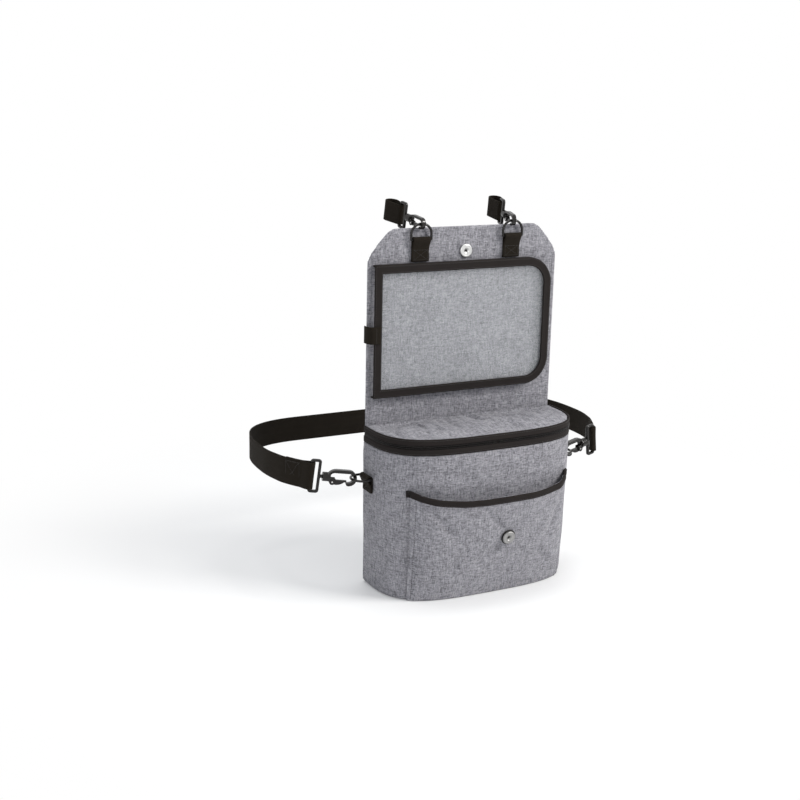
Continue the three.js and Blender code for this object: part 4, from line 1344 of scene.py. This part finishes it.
middle_line = window_line(FRAME_WIDE / 2)
frame_path = [spot(x, FRAME_BACK - FRAME_THICK / 2, z) for x, z in middle_line]
frame_mesh = band("window_frame_tape", frame_path, lambda i: in_plane_across(middle_line, i),
                  FRAME_WIDE, FRAME_THICK, closed=True, taper=lambda i: corner_stretch(middle_line, i))
add_object("window_frame_tape", frame_mesh, *TAPE, ["window_binding"])

# the last nine points of the line run down the left side, which stays open
wall_path = [spot(x, (FRAME_BACK + BOX_BACK) / 2, z) for x, z in window_line(1.3)[:-9]]
wall_band = band("window_side_wall", wall_path, lambda i: Vector((0, 1, 0)),
                 BOX_BACK - FRAME_BACK + 0.4, 2.2)
add_object("window_side_wall", wall_band, *TAPE)
for margin, name in ((1.8, "outer"), (FRAME_WIDE - 1.8, "inner")):
    line = window_line(margin)
    line.append(line[0])
    path = [spot(x, FRAME_BACK - FRAME_THICK - 0.02, z) for x, z in line]
    seam(f"window_{name}_stitches", path, facing(0, -1, 0), *TAPE_THREAD)
print("frame faces", len(frame_mesh.polygons))

# %% [markdown]
# The film lies loose in its frame, so it waves by a few tenths of a millimetre. Those waves are
# what bend its highlights.

# %% Film and closing tab
FILM_BACK, FILM_THICK, UNDER_FRAME = -10.3, 0.5, 8
FILM_LEFT, FILM_RIGHT = WINDOW_LEFT + UNDER_FRAME, WINDOW_RIGHT - UNDER_FRAME
FILM_FOOT, FILM_TOP = WINDOW_FOOT + UNDER_FRAME, WINDOW_TOP - UNDER_FRAME


def film_right(z):
    """Where the film ends on the right, with its rounded corners."""
    radius = WINDOW_CORNER - UNDER_FRAME
    past = max(FILM_FOOT + radius - z, z - FILM_TOP + radius, 0.0)
    return FILM_RIGHT - radius + math.sqrt(max(0.0, radius ** 2 - past ** 2))


def film_face(depth):
    def face(u, v):
        z = FILM_FOOT + (FILM_TOP - FILM_FOOT) * v
        x = FILM_LEFT + (film_right(z) - FILM_LEFT) * u
        calm = min(1.0, 6 * u, 6 * (1 - u), 6 * v, 6 * (1 - v))
        wave = 0.28 * crumple(x, z, 55, 8.0) + 0.1 * crumple(x, z, 18, 2.0)
        return spot(x, FILM_BACK - 0.15 - depth + wave * calm, z)
    return face


film_mesh = shell("window_film_sheet", film_face(FILM_THICK), film_face(0.0), 90, 64,
                  lambda u, v: ((FILM_RIGHT - FILM_LEFT) * u * MM, (FILM_TOP - FILM_FOOT) * v * MM))
add_object("window_film_sheet", film_mesh, film_clear, "organizer", "window_film", ["window_film"])

TAB_LEVEL, TAB_HIGH = 359, 24.0
round_the_edge = [(-134.0, -15.75), (-143.6, -15.75), (-147.2, -14.6), (-149.6, -11.6),
                  (-151.0, -7.6), (-151.3, -4.0), (-151.3, -0.5)]
closing_path = smooth_path([spot(x, y, TAB_LEVEL) for x, y in round_the_edge])
closing_mesh = band("closing_tab_cloth", closing_path, lambda i: Vector((0, 0, 1)), TAB_HIGH, TAB_THICK)
add_object("closing_tab_cloth", closing_mesh, *WEBBING, ["closing_tab"])
closing_seam = [spot(-140.5, -16.6, TAB_LEVEL + up) for up in (-9.5, 9.5)]
seam("closing_tab_stitches", closing_seam, facing(0, -1, 0), *WEBBING_THREAD, **FINE_STITCH)
print("film faces", len(film_mesh.polygons))

# %% [markdown]
# The front pocket is a fuller piece of cloth sewn flat to the box at its sides and foot, so it
# stands off the wall most at its scooped rim. Loose cloth like this falls in soft vertical folds,
# and pulls into short creases at the ends of its rim and round the snap.

# %% Front pocket cloth
POCKET_THICK, POCKET_BULGE = 2.6, 22.0
HEM_SEAM, HEM_RIDGE = 4.6, 8.6
POCKET_CORNER, POCKET_SCOOP, SNAP_X, SNAP_Z = 160.0, 12.0, 13.0, 86.0
POCKET_FOLDS = [(3.2, -116, 152, -66, 92, 6.0), (3.6, 114, 152, 84, 74, 6.5),
                (2.2, SNAP_X - 5, SNAP_Z + 9, -34, 136, 5.5),
                (2.0, SNAP_X + 6, SNAP_Z + 8, 62, 130, 5.0),
                (1.6, SNAP_X - 8, SNAP_Z - 6, -36, 44, 6.0),
                (2.4, -112, 6, -62, 56, 6.5), (1.7, 108, 6, 66, 60, 6.5)]


def pocket_rim(x):
    share = min(abs(x) / POCKET_HALF, 1.0)
    return POCKET_CORNER - POCKET_SCOOP * (1 - share ** 4)


def pocket_depth(x, z):
    share = min(abs(x) / POCKET_HALF, 1.0)
    up = min(z / POCKET_CORNER, 1.0)
    return POCKET_BULGE * (1 - share ** 3) ** 0.6 * (0.12 + 0.88 * up) * (1 - (1 - up) ** 6)


def wall_front(x, z):
    half, depth = BOX_HALF - foot_taper(z), BOX_DEPTH - foot_taper(z)
    share = min(abs(x) / half, 1.0)
    return BOX_BACK - depth * (1 - share ** SQUARENESS) ** (1 / SQUARENESS)


def pocket_folds(x, z):
    """How far the cloth leaves its plain bulge, outwards positive."""
    share = abs(x) / POCKET_HALF
    loose = (1 - soft_step(share, 0.88, 0.97)) * soft_step(z, 3, 26)
    wave = 3.0 * crumple(x, z * 0.42, 44, 6.0) + 1.2 * crumple(x, z * 0.8, 22, 3.0)
    wave += 0.35 * crumple(x, z, 9, 1.0)
    off_snap = 1 - groove(x - SNAP_X, 13) * groove(z - SNAP_Z, 13)
    off_wall = min(1.0, pocket_depth(x, z) / 4)
    return (wave * off_snap - folds(x, z, POCKET_FOLDS)) * loose * off_wall


def pocket_stand(x, z):
    """How far the finished cloth stands off the wall."""
    return max(pocket_depth(x, z) + pocket_folds(x, z), 0.0)


def pocket_x(u):
    """Columns stand closer together towards the sewn sides."""
    return POCKET_HALF * (0.45 * (2 * u - 1) + 0.55 * math.sin(math.pi * (u - 0.5)))


def pocket_face(out):
    """The front stands out by its thickness and is sewn down at its edges; the lining is plain."""
    def face(u, v):
        x = pocket_x(u)
        z = v * pocket_rim(x)
        from_side = POCKET_HALF - abs(x)
        sewn = 0.0
        if out:
            sewn = 1.8 * max(0.0, 1 - from_side / 1.8) ** 2 + 1.3 * max(0.0, 1 - z / 3.5) ** 2
            sewn += 1.5 * groove(from_side - HEM_SEAM, 1.1) - 0.7 * groove(from_side - HEM_RIDGE, 2.0)
        return spot(x, wall_front(x, z) - SEAM_GAP - pocket_stand(x, z) - out + sewn, z)
    return face


pocket_mesh = shell("front_pocket_cloth", pocket_face(POCKET_THICK), pocket_face(0.0), 200, 96,
                    lambda u, v: (pocket_x(u) * 1.18 * MM, 158 * v * MM))
pocket_cloth = add_object("front_pocket_cloth", pocket_mesh, *CLOTH, ["front_pocket"])
print("pocket faces", len(pocket_mesh.polygons))

# %% [markdown]
# Binding tape is folded over the pocket's rim and stitched through, and each end is turned on to
# the wall beside the pocket's seam.

# %% Pocket binding
BIND_HIGH, BIND_THICK = 9.5, 4.4


def binding_place(x, down):
    inside = min(max(x, -POCKET_HALF), POCKET_HALF)
    z = pocket_rim(inside) + 0.3 - down
    if abs(x) > POCKET_HALF:
        return spot(x, wall_front(x, z) - 1.7, z)
    share = soft_step(abs(x) / POCKET_HALF, 0.93, 1.0)
    out = SEAM_GAP + pocket_stand(x, z) + 2.2 * (1 - 0.25 * share)
    return spot(x, wall_front(x, z) - out, z)


turned_on = POCKET_HALF + 5
rim_x = [POCKET_HALF * math.sin(math.pi / 2 * (k / 40 - 1)) for k in range(81)]
rim_x = [-turned_on] + rim_x + [turned_on]
rim_points = [binding_place(x, BIND_HIGH / 2) for x in rim_x]
rim_up = [(binding_place(x, 0.5) - binding_place(x, BIND_HIGH - 0.5)).normalized() for x in rim_x]
bind_mesh = band("pocket_rim_tape", rim_points, lambda i: rim_up[i], BIND_HIGH, BIND_THICK * 0.95)
add_object("pocket_rim_tape", bind_mesh, *TAPE,
           ["pocket_binding", "binding_end_left", "binding_end_right"])
stitch_line = [binding_place(x, BIND_HIGH - 2.0) + Vector((0, -0.00205, 0)) for x in rim_x[2:-2]]
seam("pocket_rim_stitches", stitch_line, facing(0, -1, 0), *TAPE_THREAD)
for label, side in (("left", -1), ("right", 1)):
    x = side * (POCKET_HALF - HEM_SEAM)
    path = [spot(x, wall_front(x, z) - SEAM_GAP - pocket_stand(x, z) - POCKET_THICK + 1.4, z)
            for z in range(4, 148, 3)]
    seam(f"pocket_side_stitches_{label}", path, facing(side * 0.45, -0.9, 0),
         black_thread, "organizer", "grey_fabric")
print("rim points", len(rim_points))

# %% [markdown]
# A snap fastener is two thin metal cups pressed together through the cloth. Seen from the front
# it is a rolled rim round a dish with a small socket, so a turned profile with many steps gives
# its true shape. The pocket's snap sits in a dark rim.

# %% Snap fasteners


def turned(name, profile, place, tilt, material, body, slot, replaces=(), steps=64):
    """profile is (radius, height) in millimetres, from the middle outwards and back."""
    verts, faces, places = [], [], []
    turn = Matrix.Rotation(tilt, 3, "X")
    for k in range(steps):
        angle = 2 * math.pi * k / steps
        for radius, height in profile:
            local = Vector((radius * math.cos(angle), -height, radius * math.sin(angle))) * MM
            verts.append(place + turn @ local)
            places.append((radius * MM, angle * 0.001))
    size = len(profile)
    for k in range(steps):
        a, b = k * size, ((k + 1) % steps) * size
        for r in range(size - 1):
            faces.append((a + r, a + r + 1, b + r + 1, b + r))
    mesh = bpy.data.meshes.new(name)
    mesh.from_pydata([tuple(v) for v in verts], [], faces)
    work = bmesh.new()
    work.from_mesh(mesh)
    bmesh.ops.remove_doubles(work, verts=work.verts, dist=1e-6)
    bmesh.ops.recalc_face_normals(work, faces=work.faces)
    work.to_mesh(mesh)
    work.free()
    shade_smooth(mesh)
    return add_object(name, mesh, material, body, slot, replaces)


snap_profile = [(0, 0), (8.6, 0), (9.3, 0.35), (9.5, 1.0), (9.35, 1.9), (8.9, 2.5), (8.2, 2.85),
                (7.4, 2.9), (6.6, 2.75), (5.9, 2.55), (5.3, 2.6), (4.8, 2.75), (4.2, 2.7), (3.8, 2.3),
                (3.6, 1.7), (2.6, 1.5), (2.2, 1.55), (1.9, 1.1), (1.7, 0.7), (0, 0.6)]
socket_profile = [(0, 0.75), (1.65, 0.75), (2.15, 1.2), (2.45, 1.62), (2.75, 1.62), (2.75, 0.4),
                  (0, 0.4)]
top_snap = spot(0, BOX_BACK, TOP_SNAP_Z)
turned("top_snap_cup", snap_profile, top_snap, 0.0, silver, "organizer", "silver_metal", ["top_snap"])
turned("top_snap_socket", socket_profile, top_snap, 0.0, *NYLON)
snap_low, snap_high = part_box("pocket_snap_rim")
snap_middle = (snap_low + snap_high) / 2
slope_at = [wall_front(SNAP_X, z) - pocket_depth(SNAP_X, z) for z in (SNAP_Z + 10, SNAP_Z - 10)]
lean = math.atan2(slope_at[0] - slope_at[1], 20)
out_of_pocket = Matrix.Rotation(-lean, 3, "X") @ Vector((0, -1, 0))
rim_profile = [(4.5, 0), (10.4, 0), (10.9, 0.3), (10.9, 0.8), (10.2, 1.15), (9.6, 1.1), (4.5, 1.0),
               (4.5, 0)]
turned("pocket_snap_washer", rim_profile, snap_middle - out_of_pocket * 0.0005, -lean, *NYLON,
       ["pocket_snap_rim"])
cup_place = snap_middle + out_of_pocket * 0.0007
# the same plating painted darker, as painted shade on the lower snap
turned("pocket_snap_cup", snap_profile, cup_place, -lean, shaded_silver, "organizer", "silver_metal",
       ["pocket_snap"])
turned("pocket_snap_socket", socket_profile, cup_place, -lean, *NYLON)
print("snap leans", round(math.degrees(lean), 1), "degrees")

# %% [markdown]
# Each strap from a hook is one closed loop of webbing: it turns tightly round the bar of the
# hook's eye and stands open at its far end, held round by its own stiffness. Two layers run side
# by side between the two turns. The belt starts and ends in such a tight turn, with its end
# folded back inside and stitched in a box with a cross.

# %% Strap loops
SMALL_EYE, SMALL_LOOP_INNER, STRAP_WIDE, STRAP_THICK = 48.5, 3.25, 28.0, 1.8
FAR_REACH, FAR_RADIUS = 22.0, 8.0
STRAP_YAW, STRAP_RISE = math.radians(9), math.radians(9)


def slanted(origin, heading, rise):
    """From a hook's own flat place (away from the ring, aside) to the organizer, and the
    direction across its webbing."""
    level = math.cos(rise)
    away = Vector((math.cos(heading) * level, math.sin(heading) * level, math.sin(rise)))
    aside = Vector((-math.sin(heading), math.cos(heading), 0))

    def place(a, b):
        return origin + (away * a + aside * b) * MM
    return place, away.cross(aside)


def loop_line(near_x, near_radius, far_x, far_radius):
    """The middle of a band round two circles, in the plane across its width."""
    reach = far_x - near_x
    tilt = math.asin((far_radius - near_radius) / reach)

    def turn(x, radius, start, sweep, steps):
        angles = [start + sweep * k / steps for k in range(steps + 1)]
        return [Vector((x + radius * math.cos(a), radius * math.sin(a))) for a in angles]

    near = turn(near_x, near_radius, math.pi / 2 + tilt, math.pi - 2 * tilt, 24)
    far = turn(far_x, far_radius, -math.pi / 2 - tilt, math.pi + 2 * tilt, 36)
    line = near + [near[-1].lerp(far[0], k / 10) for k in range(1, 10)]
    return line + far + [far[-1].lerp(near[0], k / 10) for k in range(1, 10)]


eye_bar = SMALL_EYE + 4.4 - RING_WIRE / 2 - 0.7
strap_line = loop_line(eye_bar, SMALL_LOOP_INNER + STRAP_THICK / 2,
                       eye_bar + FAR_REACH, FAR_RADIUS + STRAP_THICK / 2)
for label, side in (("left", -1), ("right", 1)):
    ring_top = spot(side * TOP_TAB_X, BOX_BACK - LOOP_OUTER, TOP_TAB_FOOT + TOP_TAB_LONG + RING_HIGH)
    place, across = slanted(ring_top, math.pi / 2 - side * STRAP_YAW, STRAP_RISE)
    points = [place(a, b) for a, b in strap_line]
    mesh = band(f"strap_loop_{label}", points, lambda i: across, STRAP_WIDE, STRAP_THICK - 0.15,
                closed=True)
    add_object(f"strap_loop_{label}", mesh, webbing_black, f"strap_eye_{label}", "webbing",
               [f"hanger_strap_{label}"])
print("strap loop middle", in_mm(place(eye_bar, 0)))

# %% The belt
BELT_WIDE, BELT_THICK = 38.0, 1.8
LINK_YAW, LINK_RISE = math.radians(14), math.radians(7)
BIG_EYE, BIG_LOOP_INNER = 53.5, math.hypot(2, 2.3) + 0.35
BELT_HALF, BELT_BACK, BELT_STRAIGHT, BELT_SIDE = 266, 217, 160, 92
belt_low, belt_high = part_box("belt_webbing")
belt_level = in_mm((belt_low + belt_high) / 2)[2]


def bezier(p0, p1, p2, p3, steps):
    return [p0 * (1 - t) ** 3 + p1 * 3 * t * (1 - t) ** 2 + p2 * 3 * t * t * (1 - t) + p3 * t ** 3
            for t in [k / steps for k in range(steps)]]


def belt_end(side):
    """The middle of the eye's far bar, and the direction across the webbing there."""
    turn = math.atan(RING_HALF / (RING_HIGH - RING_STRAIGHT) * math.tan(LINK_YAW))
    out = RING_STRAIGHT + (RING_HIGH - RING_STRAIGHT) * math.cos(turn)
    ring_bow = spot(side * (BOX_HALF + 0.3 + LOOP_OUTER + out),
                    SIDE_TAB_Y + RING_HALF * math.sin(turn), SIDE_TAB_FOOT + SIDE_TAB_LONG)
    heading = LINK_YAW if side > 0 else math.pi - LINK_YAW
    place, across = slanted(ring_bow, heading, LINK_RISE)
    return place(6.5 - RING_WIRE / 2 - 1.7 + BIG_EYE, 0), across


def belt_run(side):
    """From the eye's bar to the middle of the straight part behind, as flat (x, y) in millimetres."""
    bar = in_mm(belt_end(side)[0])
    start = Vector((bar[0], bar[1]))
    outermost, corner = Vector((side * BELT_HALF, BELT_SIDE)), Vector((side * BELT_STRAIGHT, BELT_BACK))
    run = bezier(start, start + Vector((side * 10, 15)), outermost - Vector((0, 52)), outermost, 40)
    run += bezier(outermost, outermost + Vector((0, 58)), corner + Vector((side * 102, 0)), corner, 60)
    run += [Vector((side * BELT_STRAIGHT * (1 - k / 16), BELT_BACK)) for k in range(17)]
    return run


def belt_half(side):
    """One half of the belt's middle line and its width directions, from the folded end to the back."""
    run = belt_run(side)
    slant = belt_end(side)[1]
    fold, layer, round_bar = 45.0, (BELT_THICK + 0.1) / 2, BIG_LOOP_INNER + BELT_THICK / 2
    travelled, stations = 0.0, []
    for a, b in zip(run, run[1:]):
        along = (b - a).normalized()
        stations.append((travelled, a, Vector((along.y, -along.x)) * side))
        travelled += (b - a).length

    def opened(t):
        return layer + (round_bar - layer) * (1 - soft_step(t, 1.0, 17.0))

    points, wides = [], []

    def put(flat, t):
        upright = soft_step(t, 20, 90)
        points.append(spot(flat.x, flat.y, belt_level))
        wides.append((slant * (1 - upright) + Vector((0, 0, 1)) * upright).normalized())

    for t, at, normal in reversed([s for s in stations if 1.0 < s[0] < fold]):
        put(at - normal * opened(t), t)
    first, normal = stations[0][1], stations[0][2]
    back = Vector((-normal.y, normal.x)) * side * -1
    for k in range(17):
        angle = math.pi * k / 16
        put(first - normal * round_bar * math.cos(angle) + back * round_bar * math.sin(angle), 0)
    for t, at, normal in stations[1:]:
        if t > 1.0:
            centred = 1 - soft_step(t, fold + 3, fold + 22)
            put(at + normal * opened(t) * centred, t)
    put(run[-1], travelled)
    return points, wides, stations, opened


left_points, left_wides = belt_half(-1)[:2]
right_points, right_wides = belt_half(1)[:2]
belt_points = left_points + right_points[-2::-1]
belt_wides = left_wides + right_wides[-2::-1]
belt_mesh = band("belt_cloth", belt_points, lambda i: belt_wides[i], BELT_WIDE, BELT_THICK - 0.1)
add_object("belt_cloth", belt_mesh, *WEBBING, ["belt_webbing"])


def belt_box(label, side):
    """A stitched box with a cross through both layers of a folded end."""
    stations, opened = belt_half(side)[2:]

    def on_belt(t, up):
        at, normal = min(stations, key=lambda s: abs(s[0] - t))[1:]
        face = at + normal * (opened(t) + BELT_THICK / 2 + 0.08)
        return spot(face.x, face.y, belt_level + up)

    def line(t0, up0, t1, up1):
        return [on_belt(t0 + (t1 - t0) * k / 8, up0 + (up1 - up0) * k / 8) for k in range(9)]

    near, far, high = 18.0, 40.0, BELT_WIDE / 2 - 4
    outward = facing(side * 0.85, -0.5, 0)
    stitch = {"step": 3.0, "length": 2.3, "radius": 0.3}
    corners = [(near, -high), (far, -high), (far, high), (near, high), (near, -high)]
    round_box = [point for a, b in zip(corners, corners[1:]) for point in line(*a, *b)]
    seam(f"belt_box_{label}", round_box, outward, *WEBBING_THREAD, **stitch)
    for name, low, top in (("rising", -high, high), ("falling", high, -high)):
        seam(f"belt_cross_{name}_{label}", line(near, low, far, top), outward,
             *WEBBING_THREAD, **stitch)


belt_box("left", -1)
belt_box("right", 1)
print("belt points", len(belt_points))

# %% [markdown]
# The floor is plain and pale and the object stands clear of it by a fraction of a millimetre. The
# lamps are large, so the shadows are soft: the key lamp stands high in front on the right and
# the fill on the left. The camera, and what shines or is clear, see a white surround; the sky that
# lights the object stays grey, so that the white adds no light.

# %% Floor, surround and lamps


def sees_surround(tree):
    """1 for rays from the camera, from a reflection and through clear film."""
    rays = place_node(tree, "ShaderNodeLightPath").outputs
    direct = calculate(tree, "MAXIMUM", rays["Is Camera Ray"], rays["Is Glossy Ray"])
    return calculate(tree, "MAXIMUM", direct, rays["Is Transmission Ray"])


floor_material, floor_tree, floor_shader = new_material("pale_floor", roughness=0.8)
floor_shader.inputs["Base Color"].default_value = (0.9, 0.9, 0.9, 1)
away = place_node(floor_tree, "ShaderNodeVectorMath", {0: object_place(floor_tree)}, operation="LENGTH")
fade = place_node(floor_tree, "ShaderNodeMapRange", {"Value": away.outputs["Value"], "From Min": 0.45,
                                                     "From Max": 0.95}, interpolation_type="SMOOTHSTEP")
share = calculate(floor_tree, "MULTIPLY", fade.outputs[0], sees_surround(floor_tree))
plain_white = place_node(floor_tree, "ShaderNodeEmission", {"Color": (1, 1, 1, 1), "Strength": 1.0})
floor_mix = place_node(floor_tree, "ShaderNodeMixShader", {0: share, 1: floor_shader.outputs[0],
                                                            2: plain_white.outputs[0]})
floor_tree.links.new(floor_mix.outputs[0], floor_tree.nodes["Material Output"].inputs["Surface"])
floor_mesh = bpy.data.meshes.new("floor")
reach = 9.0
floor_level = solid_box[0][2] - 0.0005
floor_corners = [(-reach, -reach), (reach, -reach), (reach, reach), (-reach, reach)]
floor_mesh.from_pydata([(x, y, floor_level) for x, y in floor_corners], [], [(0, 1, 2, 3)])
floor = bpy.data.objects.new("floor", floor_mesh)
floor.data.materials.append(floor_material)
bpy.context.collection.objects.link(floor)

world = bpy.data.worlds.new("studio")
bpy.context.scene.world = world
world.use_nodes = True
sky = world.node_tree
sky.nodes.clear()
surround = place_node(sky, "ShaderNodeBackground", {"Color": (1, 1, 1, 1), "Strength": 1.0})
daylight = place_node(sky, "ShaderNodeBackground", {"Color": (0.93, 0.96, 1.0, 1), "Strength": 0.5})
choose = place_node(sky, "ShaderNodeMixShader", {0: sees_surround(sky), 1: daylight.outputs[0],
                                                 2: surround.outputs[0]})
world_out = place_node(sky, "ShaderNodeOutputWorld")
sky.links.new(choose.outputs[0], world_out.inputs["Surface"])


def lamp(name, place, aim, size, watts, colour):
    light = bpy.data.lights.new(name, "AREA")
    light.shape = "RECTANGLE"
    light.size, light.size_y = size
    light.energy = watts
    light.color = colour
    holder = bpy.data.objects.new(name, light)
    holder.location = place
    holder.rotation_euler = (Vector(aim) - Vector(place)).to_track_quat("-Z", "Y").to_euler()
    bpy.context.collection.objects.link(holder)
    return holder


lamp("key", (1.7, -1.5, 1.3), (0, -0.1, -0.25), (0.9, 0.9), 58, (1.0, 0.985, 0.96))
lamp("fill", (-1.9, -1.4, 0.6), (0, -0.1, -0.3), (1.4, 1.2), 8, (0.97, 0.98, 1.0))
lamp("top", (-0.1, 0.2, 1.9), (0, -0.08, -0.2), (1.3, 1.0), 20, (1, 1, 1))
bpy.context.scene.view_settings.view_transform = "Standard"
print("floor level", round(floor_level, 4))
